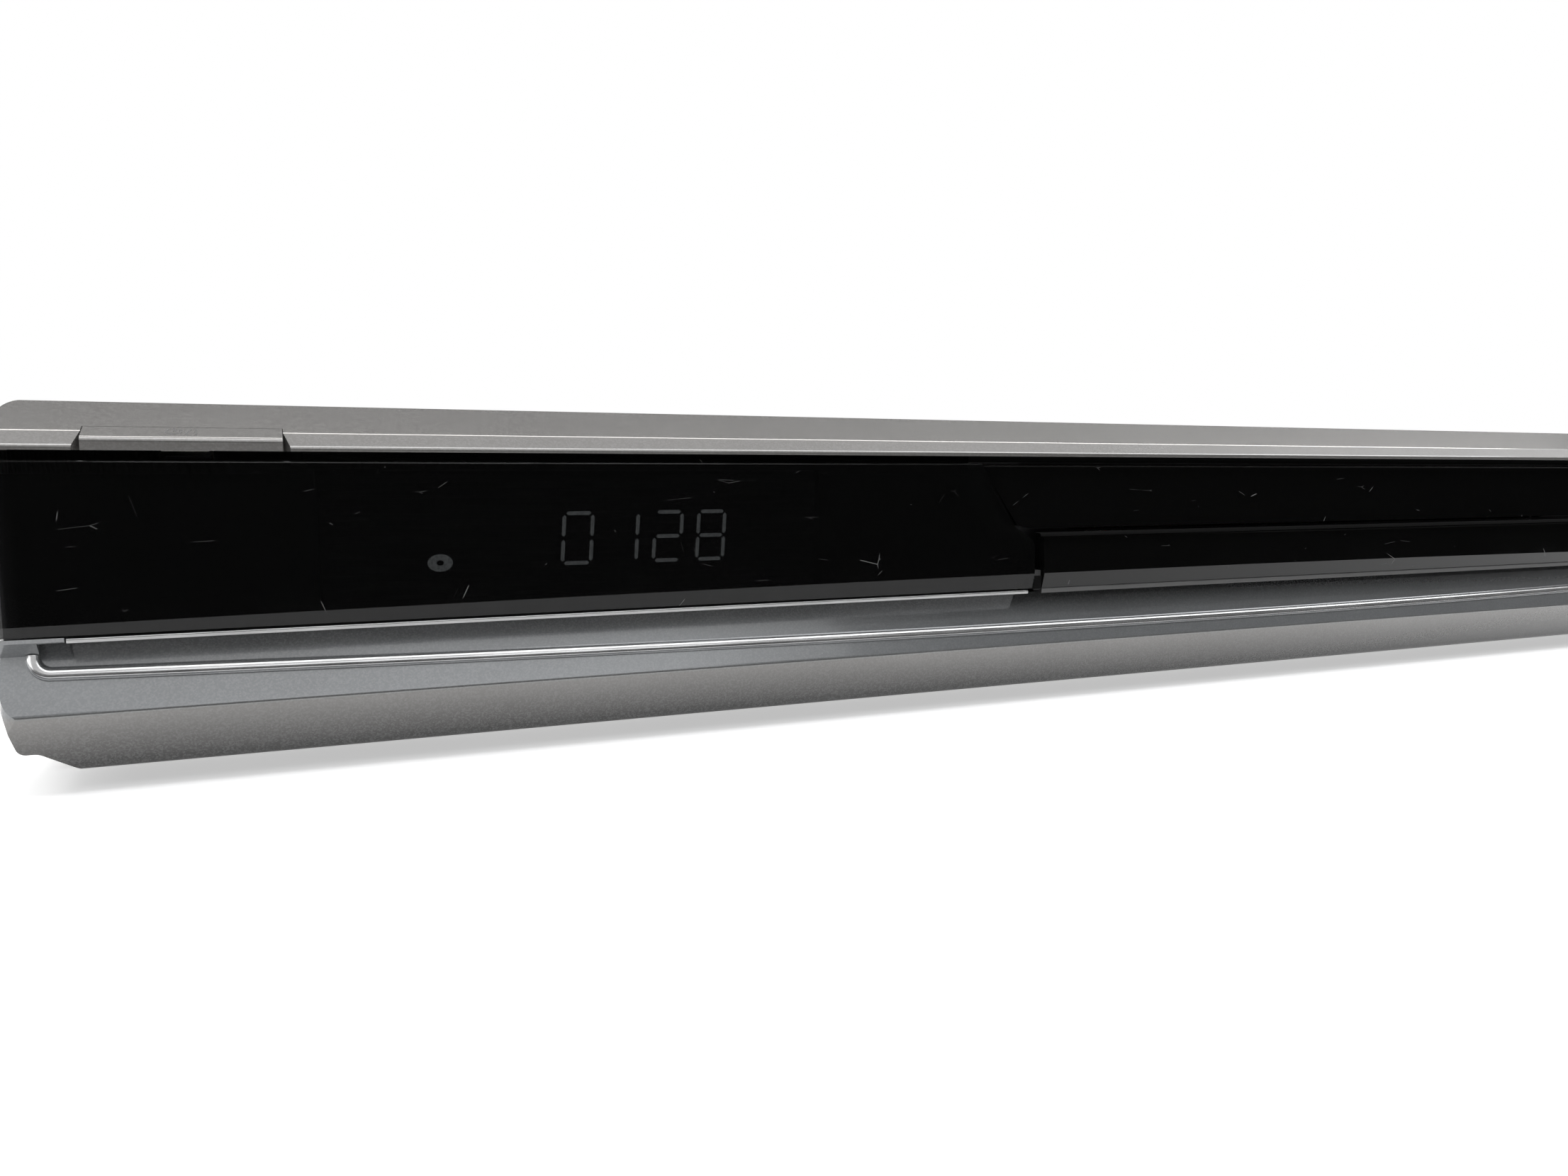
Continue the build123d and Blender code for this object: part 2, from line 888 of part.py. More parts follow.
def make_flap():
    body = gloss_face(wall_front_y) & block(flap_left, flap_right, front_y - wall, flap_back_y(),
                                            panel_foot_z, flap_top_z)
    top_edge = body.edges().group_by(Axis.Z)[-1].sort_by(Axis.Y)[0]
    body = fillet(top_edge, flap_round)
    for side in (-1, 1):
        inner = flap_left if side < 0 else flap_right - flap_ear
        ear = block(inner, inner + flap_ear, pivot_y - 0.5, pivot_y + ear_half,
                    panel_foot_z, flap_pivot_z + 2.2)
        end = flap_left if side < 0 else flap_right
        pin = rod((end - side * flap_ear, pivot_y, flap_pivot_z),
                  (end + side * (ear_gap + flap_pin_length), pivot_y, flap_pivot_z), flap_pin_radius)
        body = body + ear + pin
    return body


def make_flap_trim():
    return strip(flap_left, flap_right, flap_back_y(), panel_foot_z)


# Buttons

def brow_button():
    """Wedge that carries the slope of the brow on to an upright front, left one."""
    left, right = notch_outline(0)
    back = nose_y + button_depth
    points = [
        (nose_y, nose_low_z),
        (nose_y, brow_slope_z(nose_y)),
        (back, brow_slope_z(back)),
        (back, brow_slope_z(back) - button_skin),
        (nose_y + button_front, tongue_top_z),
        (nose_y + button_front, nose_low_z),
    ]
    wedge = side_profile(points, left, right)
    lip = wedge.edges().filter_by(Axis.X).group_by(Axis.Y)[0].sort_by(Axis.Z)[-1]
    wedge = fillet(lip, button_round)
    middle = (left + right) / 2
    tongue = block(middle - button_tongue / 2, middle + button_tongue / 2, nose_y + button_front / 2,
                   wall_rear_y + tongue_reach, tongue_low_z, tongue_top_z)
    return wedge + tongue


def make_key(x):
    """Round key behind the flap, with a collar inside."""
    cap = lengthwise(x, key_z, sub_front_y - key_stand, key_rear_y, key_radius)
    collar = lengthwise(x, key_z, key_rear_y - key_collar_thick, key_rear_y, key_radius + key_collar)
    return cap + collar


# Disc tray and its rack

def tray_front_outline():
    gap = tray_front_gap
    top = panel_top_z - seam
    return [
        (slant_top_x + gap, top),
        (slant_low_x + gap * 1.3, slant_low_z + seam),
        (slant_low_x + gap * 1.3 + 2.6, flap_top_z + gap),
        (tray_front_right, flap_top_z + gap),
        (tray_front_right, top),
    ]


def clip_xs():
    return [tray_x + side * (tray_width / 2 - clip_inset) for side in (-1, 1)]


def make_tray_front():
    mask = front_profile(tray_front_outline(), front_y - wall, tray_face_y)
    face = Pos(0, tray_front_set_back, -seam) * gloss_face(wall_front_y)
    cap = face & mask
    for x in clip_xs():
        cap += block(x - clip_width / 2, x + clip_width / 2, tray_face_y - 0.5, tray_face_y + wall,
                     tray_bottom_z + 2 * clip_fit, tray_floor_z - 3 * clip_fit)
    return cap


def make_disc_tray():
    left, right = tray_x - tray_width / 2, tray_x + tray_width / 2
    deck = block(left, right, tray_face_y, tray_rear_y, tray_bottom_z, tray_top_z)
    deck = vertical_edges(deck, tray_corner, lambda edge: edge.center().Y > tray_rear_y - past)
    deck -= upright(tray_x, disc_y, tray_floor_z, tray_top_z + past, disc_diameter / 2 + disc_clear)
    deck -= upright(tray_x, disc_y, tray_floor_z - small_disc_step, tray_top_z, disc_diameter / 3)
    deck -= upright(tray_x, disc_y, tray_bottom_z - past, tray_top_z, slot_width / 2)
    deck -= block(tray_x - slot_width / 2, tray_x + slot_width / 2, disc_y, slot_rear_y,
                  tray_bottom_z - past, tray_top_z + past)
    hand_space = block(left + finger_margin, right - finger_margin, tray_face_y, tray_rear_y,
                       tray_floor_z - past, tray_top_z + past)
    for side in (-1, 1):
        grip_x = tray_x + side * disc_diameter / 2
        deck -= upright(grip_x, disc_y, tray_floor_z - past, tray_top_z + past, finger_radius) & hand_space
        edge_x = tray_x + side * tray_width / 2
        x0, x1 = sorted((edge_x, edge_x + side * tray_flange))
        deck += block(x0, x1, tray_face_y + 3 * wall, tray_rear_y - tray_corner,
                      tray_floor_z - tray_flange_thick, tray_floor_z)
    half = clip_width / 2 + clip_fit
    for x in clip_xs():
        deck -= block(x - half, x + half, tray_face_y - past, tray_face_y + wall + seam,
                      tray_bottom_z + clip_fit, tray_floor_z - 2 * clip_fit)
    return deck + tray_rack()


def tray_rack():
    """Straight rack under the tray, its teeth towards the pinion."""
    pitch = pi * rack_module
    tip = rack_x + rack_module * 0.9
    root = rack_x - rack_module * 1.2
    first = gear_y - 3 * pitch
    count = int((tray_rear_y - tray_corner - first) / pitch)
    wide = pitch / 2 - backlash
    points = [(root - rack_back, first - pitch), (root, first - pitch)]
    for number in range(count):
        middle = first + number * pitch
        points += [
            (root, middle - wide * 0.85),
            (tip, middle - wide * 0.25),
            (tip, middle + wide * 0.25),
            (root, middle + wide * 0.85),
        ]
    points += [(root, first + count * pitch), (root - rack_back, first + count * pitch)]
    return plan_profile(points, tray_bottom_z - rack_height, tray_bottom_z + 0.5)


def gear_outline(teeth, module, phase):
    """Points of a spur wheel; a tooth points at the angle phase, in degrees."""
    pitch_radius = module * teeth / 2
    tip, root = pitch_radius + module * 0.9, pitch_radius - module * 1.2
    step = 360 / teeth
    half_root = step / 4 * 1.35 - degrees(backlash / 2 / pitch_radius)
    half_tip = step / 4 * 0.45
    points = []
    for number in range(teeth):
        middle = phase + number * step
        for radius, angle in ((root, -half_root), (tip, -half_tip), (tip, half_tip), (root, half_root)):
            turn = radians(middle + angle)
            points.append((radius * cos(turn), radius * sin(turn)))
    return points


def wheel(teeth, module, phase, place, z0, z1):
    x, y = place
    return plan_profile([(x + u, y + v) for u, v in gear_outline(teeth, module, phase)], z0, z1)


def make_tray_gear():
    """Pinion for the rack over the large wheel for the belt pulley, on one hub."""
    place = (gear_x, gear_y)
    rack_phase = 180 + 360 / pinion_teeth / 2
    pinion = wheel(pinion_teeth, rack_module, rack_phase, place, large_gear_z, tray_bottom_z - 0.4)
    large = wheel(large_teeth, large_module, train_angle, place, large_gear_z, large_gear_z + gear_thick)
    return pinion + large - upright(*place, large_gear_z - past, tray_bottom_z, gear_post + post_fit)


def grooved_wheel(x, y, radius):
    """Belt wheel: a groove between two lips, with slanting cheeks."""
    low, high = belt_z - belt_half, belt_z + belt_half
    groove_half = belt_section / 2 + 0.1
    outline = Polyline(
        (0, 0, low), (radius + wheel_lip, 0, low), (radius, 0, belt_z - groove_half),
        (radius, 0, belt_z + groove_half), (radius + wheel_lip, 0, high), (0, 0, high), close=True)
    return Pos(x, y, 0) * revolve(face_of(outline), Axis.Z)


def make_belt_pulley():
    phase = 180 + train_angle + 360 / small_teeth / 2
    high = large_gear_z + gear_thick
    pinion = wheel(small_teeth, large_module, phase, (pulley_x, pulley_y), belt_z, high)
    rim = grooved_wheel(pulley_x, pulley_y, belt_wheel_radius)
    return rim + pinion - upright(pulley_x, pulley_y, belt_z - wall, high + past, pulley_post + post_fit)


def make_motor_pulley():
    rim = grooved_wheel(motor_x, motor_y, motor_wheel_radius)
    return rim - upright(motor_x, motor_y, belt_z - wall, belt_z + wall, shaft_radius + post_fit)


def belt_loop(grow):
    """Outline of the belt, grown outward by grow."""
    big, small = belt_wheel_radius + grow, motor_wheel_radius + grow
    tilt = (big - small) / motor_offset_x
    rise = sqrt(1 - tilt * tilt)
    z = belt_z - belt_section / 2
    top_big = (pulley_x + big * tilt, pulley_y + big * rise, z)
    low_big = (pulley_x + big * tilt, pulley_y - big * rise, z)
    top_small = (motor_x + small * tilt, motor_y + small * rise, z)
    low_small = (motor_x + small * tilt, motor_y - small * rise, z)
    return face_of(
        ThreePointArc(top_big, (pulley_x - big, pulley_y, z), low_big),
        Line(low_big, low_small),
        ThreePointArc(low_small, (motor_x + small, motor_y, z), top_small),
        Line(top_small, top_big),
    )


def make_drive_belt():
    outer = extrude(belt_loop(rest_gap + belt_section), amount=belt_section, dir=(0, 0, 1))
    inner = extrude(belt_loop(rest_gap), amount=belt_section, dir=(0, 0, 1))
    return outer - inner


def make_loading_motor():
    top = loader_floor_z
    can = upright(motor_x, motor_y, top - loading_motor_length, top, loading_motor_radius)
    boss = upright(motor_x, motor_y, top, top + wall + 0.8, motor_wheel_radius)
    return can + boss + upright(motor_x, motor_y, top, belt_z + belt_half + 0.9, shaft_radius)


# Loader frame, bridge and clamper

def make_loader_frame():
    left, right = tray_x - loader_half_width, tray_x + loader_half_width
    floor_top = loader_floor_z + wall
    tub = block(left, right, loader_front_y, loader_rear_y, loader_floor_z, loader_top_z)
    tub -= block(left + wall, right - wall, loader_front_y - past, loader_rear_y - wall,
                 floor_top, loader_top_z + past)
    pit_half = traverse_half_width + 2 * wall
    tub -= block(tray_x - pit_half, tray_x + pit_half, traverse_front_y - wall, traverse_rear_y + 6 * wall,
                 loader_floor_z - past, floor_top + past)
    under, over = tray_floor_z - tray_flange_thick - seam, tray_floor_z + seam
    for side in (-1, 1):
        wall_x = tray_x + side * (loader_half_width - wall)
        rail_x = tray_x + side * (tray_width / 2 + 0.5)
        x0, x1 = sorted((wall_x, rail_x))
        tub += block(x0, x1, loader_front_y, tray_rear_y, under - rail_thick, under)
        tub += block(x0, x1, loader_front_y, tray_rear_y, over, over + rail_thick)
    tub += upright(gear_x, gear_y, floor_top - past, tray_bottom_z - 0.8, gear_post)
    tub += upright(gear_x, gear_y, floor_top - past, large_gear_z - rest_gap, gear_post + post_shoulder)
    tub += upright(pulley_x, pulley_y, floor_top - past, large_gear_z + gear_thick, pulley_post)
    tub += upright(pulley_x, pulley_y, floor_top - past, belt_z - belt_half - rest_gap,
                   pulley_post + post_shoulder)
    tub -= upright(motor_x, motor_y, loader_floor_z - past, floor_top + past, motor_wheel_radius + rest_gap)
    half = loader_leg / 2
    for x, y in loader_feet_places():
        tub += block(x - half, x + half, y - half, y + half, chassis_z + sheet, floor_top)
    for side in (-1, 1):
        y = cam_y + side * (cam_thick / 2 + seam + 0.5)
        reach = pin_spread - 3 * wall
        tub += block(tray_x - reach, tray_x + reach, y - 0.5, y + 0.5, loader_floor_z + past, traverse_z)
    return tub


def loader_feet_places():
    reach = loader_half_width - loader_leg_inset
    ys = (loader_front_y + loader_leg_inset, loader_rear_y - loader_leg_inset)
    return [(x, y) for x in (tray_x - reach, tray_x + reach) for y in ys]


def make_clamp_bridge():
    half = loader_half_width
    top = loader_top_z + bridge_thick
    plate = block(tray_x - half, tray_x + half, disc_y - bridge_depth / 2, disc_y + bridge_depth / 2,
                  loader_top_z, top)
    plate -= upright(tray_x, disc_y, loader_top_z - past, top + past, clamper_radius + 0.6)
    for side in (-1, 1):
        rib_y = disc_y + side * (bridge_depth / 2 - wall / 2)
        plate += block(tray_x - half + 2 * wall, tray_x + half - 2 * wall, rib_y - wall / 2, rib_y + wall / 2,
                       top - 0.2, top + bridge_rib - 0.2)
    return plate


def make_clamper():
    """Flanged puck that rests in the bridge and is drawn down on the disc."""
    seat = loader_top_z + bridge_thick + post_fit
    low = tray_top_z + 1.3
    puck = upright(tray_x, disc_y, low, seat + 1.0, clamper_radius)
    puck += upright(tray_x, disc_y, seat, seat + 1.0, clamper_radius + clamper_flange)
    return puck - upright(tray_x, disc_y, low - past, low + 2.6, cone_radius + 0.9)


# Traverse unit

def make_traverse_frame():
    plate = block(tray_x - traverse_half_width, tray_x + traverse_half_width,
                  traverse_front_y, traverse_rear_y, traverse_z, traverse_top_z)
    plate = vertical_edges(plate, traverse_corner)
    plate -= block(tray_x - sled_half - 1, tray_x + sled_half + 1, rods_front_y + wall,
                   traverse_rear_y - 4 * wall, traverse_z - past, traverse_top_z + past)
    left_rod, right_rod = rod_xs()
    for x, radius in ((left_rod, rod_radius), (right_rod, rod_radius), (screw_x, screw_radius)):
        for y in (rods_front_y, rods_rear_y):
            half = rod_seat - 0.5 if x == screw_x else rod_seat
            seat = block(x - half, x + half, y - seat_half, y + seat_half, traverse_top_z - 0.5, seat_top_z)
            plate += seat - lengthwise(x, rod_z, y - wall, y + wall, radius + 0.04)
    for side in (-1, 1):
        x = tray_x + side * pin_spread
        plate += lengthwise(x, lift_pin_z, cam_y - 1.6, traverse_front_y + 0.5, lift_pin_radius)
    for x, y in isolator_places():
        plate -= flatted_rod((x, y, traverse_z - past), (x, y, traverse_top_z + past), isolator_radius)
    motor_half = feed_motor_radius + seam
    plate -= block(screw_x - motor_half, screw_x + motor_half, rods_front_y - feed_motor_front - seam,
                   rods_front_y - feed_motor_rear + rest_gap, traverse_z - past, traverse_top_z + past)
    return plate


def rod_xs():
    return tray_x - rod_spacing / 2, tray_x + rod_spacing / 2


def isolator_places():
    reach = traverse_half_width - isolator_inset
    ys = (traverse_front_y + isolator_inset, traverse_rear_y - isolator_inset)
    return [(x, y) for x in (tray_x - reach, tray_x + reach) for y in ys]


def make_isolators():
    """Rubber grommets at the corners of the traverse frame, each with a hole for its screw."""
    parts = []
    for x, y in isolator_places():
        body = flatted_rod((x, y, traverse_z), (x, y, traverse_top_z), isolator_radius - 0.02)
        for z in (traverse_z - 1.6, traverse_top_z):
            body += flatted_rod((x, y, z), (x, y, z + 1.6), isolator_radius + 1.6)
        hole = flatted_rod((x, y, traverse_z - wall), (x, y, traverse_top_z + wall), screw_shank, 6)
        parts.append(body - hole)
    return group(*parts)


def make_spindle_motor():
    can = upright(tray_x, disc_y, traverse_top_z, traverse_top_z + spindle_motor_height, spindle_motor_radius)
    return can + upright(tray_x, disc_y, traverse_top_z, table_z - 1.0, shaft_radius)


def make_turntable():
    low = table_z - table_thick
    disc = upright(tray_x, disc_y, low, table_z, turntable_radius)
    cone = Pos(tray_x, disc_y, table_z + 1.0) * Cone(cone_radius, cone_radius - 1.4, 2.0)
    return disc + cone - upright(tray_x, disc_y, low - past, table_z - 0.5, shaft_radius + 0.04)


def make_guide_rods():
    front, rear = rods_front_y - seat_half, rods_rear_y + seat_half
    return group(*[lengthwise(x, rod_z, front, rear, rod_radius) for x in rod_xs()])


def make_pickup_sled():
    low, high = rod_z - 1.8, rod_z + sled_rise
    body = block(tray_x - sled_half, tray_x + sled_half, sled_y - sled_length / 2 + 3,
                 sled_y + sled_length / 2, low, high)
    for side, x in zip((-1, 1), rod_xs()):
        x0, x1 = sorted((tray_x + side * (sled_half - 1), x + side * rod_seat))
        body += block(x0, x1, sled_y - 4, sled_y + 6, rod_z - 0.8, seat_top_z)
        body -= lengthwise(x, rod_z, sled_y - 8, sled_y + 12, rod_radius + slide_fit)
    arm_x = tray_x + rod_spacing / 2 + rod_radius
    body += block(arm_x, screw_x - screw_radius - seam, sled_y, sled_y + 4, rod_z - 0.8, rod_z + 1.8)
    body -= lengthwise(rod_xs()[1], rod_z, sled_y - 8, sled_y + 12, rod_radius + slide_fit)
    return body - upright(tray_x, sled_y, high - 1.5, high + past, 4.2)


def make_objective_lens():
    """Lens in its ring, with a low crown."""
    low = rod_z + sled_rise - 1.5
    ring = upright(tray_x, sled_y, low, low + 1.9, 3.6)
    return ring + Pos(tray_x, sled_y, low + 2.2) * Cone(2.4, 1.6, 0.6)


def make_feed_screw():
    return lengthwise(screw_x, rod_z, rods_front_y - seat_half, rods_rear_y + 2 * seat_half, screw_radius)


def make_feed_motor():
    front, rear = rods_front_y - feed_motor_front, rods_front_y - feed_motor_rear
    body = lengthwise(screw_x, rod_z, front, rear, feed_motor_radius)
    return body + block(screw_x - feed_plate_half, screw_x + feed_plate_half, rear,
                        rods_front_y - feed_plate_rear, traverse_top_z, seat_top_z)


def make_lift_cam():
    """Bar across the front of the traverse; its sloping slots raise two pins as it slides."""
    half = pin_spread + cam_past_pins
    low, high = loader_floor_z + wall + 0.2, traverse_z + cam_rise
    bar = block(tray_x - half, tray_x + half, cam_y - cam_thick / 2, cam_y + cam_thick / 2, low, high)
    play = lift_pin_radius + 0.08
    travel = lift * cam_ratio
    run = hypot(travel, lift)
    nx, nz = lift / run * play, travel / run * play
    for side in (-1, 1):
        x = tray_x + side * pin_spread
        start, end = (x, lift_pin_z), (x - travel, lift_pin_z + lift)
        path = [
            (start[0] - nx, start[1] - nz),
            (start[0] + nx, start[1] + nz),
            (end[0] + nx, end[1] + nz),
            (end[0] - nx, end[1] - nz),
        ]
        bar -= front_profile(path, cam_y - cam_thick, cam_y + cam_thick)
        for px, pz in (start, end):
            bar -= lengthwise(px, pz, cam_y - cam_thick, cam_y + cam_thick, play)
    return bar


# Casing

def make_top_cover():
    x = side_x - cover_inset
    outer = [(-x, chassis_z), (-x, height), (x, height), (x, chassis_z)]
    inner = [(-x + sheet, chassis_z - past), (-x + sheet, height - sheet), (x - sheet, height - sheet),
             (x - sheet, chassis_z - past)]
    skin = front_profile(outer, brow_top_y, rear_panel_y)
    folds = [e for e in skin.edges().filter_by(Axis.Y) if e.center().Z > height - wall]
    skin = fillet(folds, fold_round)
    cavity = front_profile(inner, brow_top_y - past, rear_panel_y + past)
    folds = [e for e in cavity.edges().filter_by(Axis.Y) if e.center().Z > height - wall]
    skin -= fillet(folds, fold_round - sheet)
    for side in (-1, 1):
        x0, x1 = sorted((side * (x + past), side * (x - wall)))
        for y in cover_screw_ys():
            skin -= rod((x0, y, cover_screw_z), (x1, y, cover_screw_z), screw_hole)
        for number in range(vent_count):
            y = rear_panel_y - vent_from_rear + number * vent_pitch
            skin -= block(x0, x1, y, y + vent_width, vent_low_z, vent_high_z)
    return skin


def cover_screw_ys():
    return (brow_top_y + screw_from_ends, rear_panel_y - screw_from_ends)


def make_screw(x, y, z, along, head, head_height):
    """A screw whose head lies outward of a face; along is the outward direction."""
    outward = Vector(*along)
    seat = Vector(x, y, z)
    top, tip = seat + outward * head_height, seat - outward * screw_length
    return flatted_rod(tuple(seat), tuple(top), head) + flatted_rod(tuple(tip), tuple(seat), screw_shank, 6)


def make_cover_screws():
    """Side screws of the cover and the screws of the rear panel."""
    parts = []
    for side in (-1, 1):
        x = side * (side_x - cover_inset)
        for y in cover_screw_ys():
            parts.append(make_screw(x, y, cover_screw_z, (side, 0, 0), cover_screw_head, cover_inset))
    for x in rear_screw_xs():
        parts.append(make_screw(x, rear_panel_y, rear_screw_z, (0, 1, 0), rear_screw_head, screw_head_height))
    return group(*parts)


def rear_screw_xs():
    reach = side_x - rear_screw_from_side
    return (-reach, 10.0, reach)


def make_bottom_chassis():
    x = side_x - cover_inset - sheet
    front, back = brow_top_y + 0.5, rear_panel_y - sheet
    pan = block(-x, x, front, back, chassis_z, chassis_z + chassis_rim)
    pan -= block(-x + sheet, x - sheet, front - past, back + past,
                 chassis_z + sheet, chassis_z + chassis_rim + past)
    for column in range(6):
        for row in range(2):
            cx = -side_x + floor_slot_from_side + column * floor_slot_pitch
            cy = front_y + floor_slot_from_front + row * 1.5 * floor_slot_length
            pan -= block(cx, cx + floor_slot_width, cy, cy + floor_slot_length,
                         chassis_z - past, chassis_z + sheet + past)
    for side in (-1, 1):
        for y in cover_screw_ys():
            outer, inner = side * (x + past), side * (x - wall)
            pan -= rod((outer, y, cover_screw_z), (inner, y, cover_screw_z), screw_hole)
    return pan


def foot_places():
    return [(x, y) for y in (foot_front_y, foot_rear_y) for x in (-foot_x, foot_x)]


def make_feet():
    """Round feet, glued under the chassis."""
    parts = []
    for x, y in foot_places():
        foot = upright(x, y, 0, chassis_z, foot_radius)
        parts.append(chamfer(foot.edges().filter_by(GeomType.CIRCLE).group_by(Axis.Z)[0], foot_chamfer))
    return group(*parts)


def make_rear_panel():
    x = side_x - cover_inset - sheet
    plate = block(-x, x, rear_panel_y - sheet, rear_panel_y, chassis_z, height - sheet)
    corners = [e for e in plate.edges().filter_by(Axis.Y) if e.center().Z > height - wall]
    plate = fillet(corners, fold_round - 0.6)
    for cutter in rear_openings() + fan_slots():
        plate -= cutter
    for x in rear_screw_xs():
        plate -= lengthwise(x, rear_screw_z, rear_panel_y - wall, rear_panel_y + past, screw_hole)
    return plate


def rear_cut(x, wide, z0, z1):
    return block(x - wide / 2, x + wide / 2, rear_panel_y - wall, rear_panel_y + past, z0, z1)


def rear_openings():
    cuts = [
        rear_cut(inlet_x, inlet_width, socket_low_z, socket_low_z + inlet_height),
        rear_cut(lan_x, lan_width, socket_low_z, socket_low_z + lan_height),
        rear_cut(hdmi_x, hdmi_width, socket_low_z, socket_low_z + hdmi_height),
        rear_cut(optical_x, optical_size, socket_low_z, socket_low_z + optical_size),
    ]
    for x, z in jack_places():
        cuts.append(lengthwise(x, z, rear_panel_y - wall, rear_panel_y + past, jack_radius + seam))
    return cuts


def jack_places():
    return [(jacks_x + number * jack_pitch, socket_low_z + jack_rise) for number in range(jack_count)]


def fan_slots():
    """Upright slots that fill a circle in front of the fan."""
    reach = int(grille_radius / grille_pitch)
    slots = []
    for number in range(-reach, reach + 1):
        x = number * grille_pitch
        tall = sqrt(grille_radius ** 2 - x ** 2)
        slots.append(rear_cut(fan_x + x, grille_slot, fan_z - tall, fan_z + tall))
    return slots


def make_fan_frame():
    y1 = rear_panel_y - sheet
    y0 = y1 - fan_depth
    half = fan_size / 2
    frame = block(fan_x - half, fan_x + half, y0, y1, fan_z - half, fan_z + half)
    frame -= lengthwise(fan_x, fan_z, y0 - past, y1 + past, half - fan_wall)
    inside = lengthwise(fan_x, fan_z, y0, y1, half - 0.8)
    for turn in (45, 165, 285):
        bar = Pos(fan_x, y0 + 1.0, fan_z) * Rot(0, turn, 0) * Pos(half / 2, 0, 0) * Box(half, 2.0, 2.4)
        frame += bar & inside
    seat = lengthwise(fan_x, fan_z, y0, y0 + 2.0, fan_hub)
    return frame + seat + lengthwise(fan_x, fan_z, y0, y0 + 7.0, 1.2)


def make_fan_rotor():
    y0 = rear_panel_y - sheet - fan_depth + 2.3
    y1 = rear_panel_y - sheet - 0.8
    hub = lengthwise(fan_x, fan_z, y0, y1, fan_hub)
    reach = fan_size / 2 - fan_wall - fan_tip_gap
    root = fan_hub - 1.0
    for number in range(fan_blades):
        blade = Pos((reach + root) / 2, 0, 0) * Rot(fan_pitch_angle, 0, 0) * Box(reach - root, 0.9, 9.0)
        hub += Pos(fan_x, (y0 + y1) / 2, fan_z) * Rot(0, number * 360 / fan_blades, 0) * blade
    hub &= lengthwise(fan_x, fan_z, y0, y1, reach)
    return hub - lengthwise(fan_x, fan_z, y0 - past, y0 + 4.9, 1.25)


# Boards and sockets

def pcb(x0, x1, y0, y1, z, inset=leg_inset):
    """Circuit board with a standing leg near each corner."""
    plate = block(x0, x1, y0, y1, z, z + board)
    half = board_leg / 2
    for x in (x0 + inset, x1 - inset):
        for y in (y0 + inset, y1 - inset):
            plate += block(x - half, x + half, y - half, y + half, chassis_z + sheet, z + 0.5)
    return plate


def make_main_board():
    rear_part = pcb(main_left, main_right, main_front, board_rear_y, main_z)
    left_part = pcb(main_left, tray_x - loader_half_width - 3, front_y + main_front_y_back,
                    main_front + past, main_z)
    return rear_part + left_part


def chip_corner():
    """Where the main chip stands on the left part of the main board."""
    return main_left + chip_from_left, disc_y + chip_behind_disc


def make_main_chips():
    top = main_z + board
    x, y = chip_corner()
    big = block(x, x + chip_size, y, y + chip_size, top, top + chip_thick)
    flash_x, flash_y = x + flash_from_chip, y + flash_rise
    flash = block(flash_x, flash_x + memory_size, flash_y, flash_y + flash_deep, top, top + memory_thick)
    parts = [big, flash]
    for number in range(2):
        memory_x, memory_y = x + number * memory_pitch, y - memory_before_chip
        parts.append(block(memory_x, memory_x + memory_size, memory_y, memory_y + memory_deep,
                           top, top + memory_thick))
    return group(*parts)


def make_heat_sink():
    """Finned block on the main chip."""
    base_z = main_z + board + chip_thick
    x, y = chip_corner()
    x0, x1 = x - sink_over, x + chip_size + sink_over
    y0, y1 = y - sink_over, y + chip_size + sink_over
    sink = block(x0, x1, y0, y1, base_z, base_z + sink_base)
    pitch = (x1 - x0 - sink_fin) / (sink_fins - 1)
    for number in range(sink_fins):
        fin_x = x0 + number * pitch
        sink += block(fin_x, fin_x + sink_fin, y0, y1, base_z + sink_base / 2, base_z + sink_height)
    return sink


def make_power_board():
    return pcb(power_left, power_right, power_front, board_rear_y, main_z)


def make_transformer():
    """Iron core round a bobbin that shows at both ends."""
    top = main_z + board
    x, y = (power_left + power_right) / 2 - core_aside, (power_front + board_rear_y) / 2 + core_behind
    half_width, half_depth = core_width / 2, core_depth / 2
    core = block(x - half_width, x + half_width, y - half_depth, y + half_depth, top, top + core_height)
    inner, outer = half_width - bobbin_inset, half_depth + bobbin_over
    return core + block(x - inner, x + inner, y - outer, y + outer, top + bobbin_lift,
                        top + core_height - bobbin_lift)


def make_capacitors():
    top = main_z + board
    parts = [upright(power_right - large_can_from_right, board_rear_y - large_can_from_rear,
                     top, top + large_can_height, large_can_radius)]
    for number in range(3):
        x = power_left + small_can_from_left + number * small_can_pitch
        parts.append(upright(x, power_front + small_can_from_front, top, top + small_can_height,
                             small_can_radius))
    return group(*parts)


def make_mains_inlet():
    """Two pin appliance inlet: an open well with two pins, and a step round its mouth."""
    y1 = rear_panel_y + inlet_proud
    y0 = rear_panel_y - inlet_deep
    half = inlet_width / 2 - socket_gap
    low, high = socket_low_z + socket_gap, socket_low_z + inlet_height - socket_gap
    body = block(inlet_x - half, inlet_x + half, y0, y1, low, high)
    well = block(inlet_x - half + inlet_wall, inlet_x + half - inlet_wall, y1 - 11.0, y1 + past,
                 low + 2.5, high - 2.5)
    body -= fillet(well.edges().filter_by(Axis.Y), inlet_corner)
    for side in (-1, 1):
        x = inlet_x + side * inlet_pin_spread
        body += lengthwise(x, (low + high) / 2, y1 - 12.0, y1 - 5.0, inlet_pin)
    return body + block(inlet_x - half, inlet_x + half, y0, y0 + 8.0, main_z + board, low + 1)


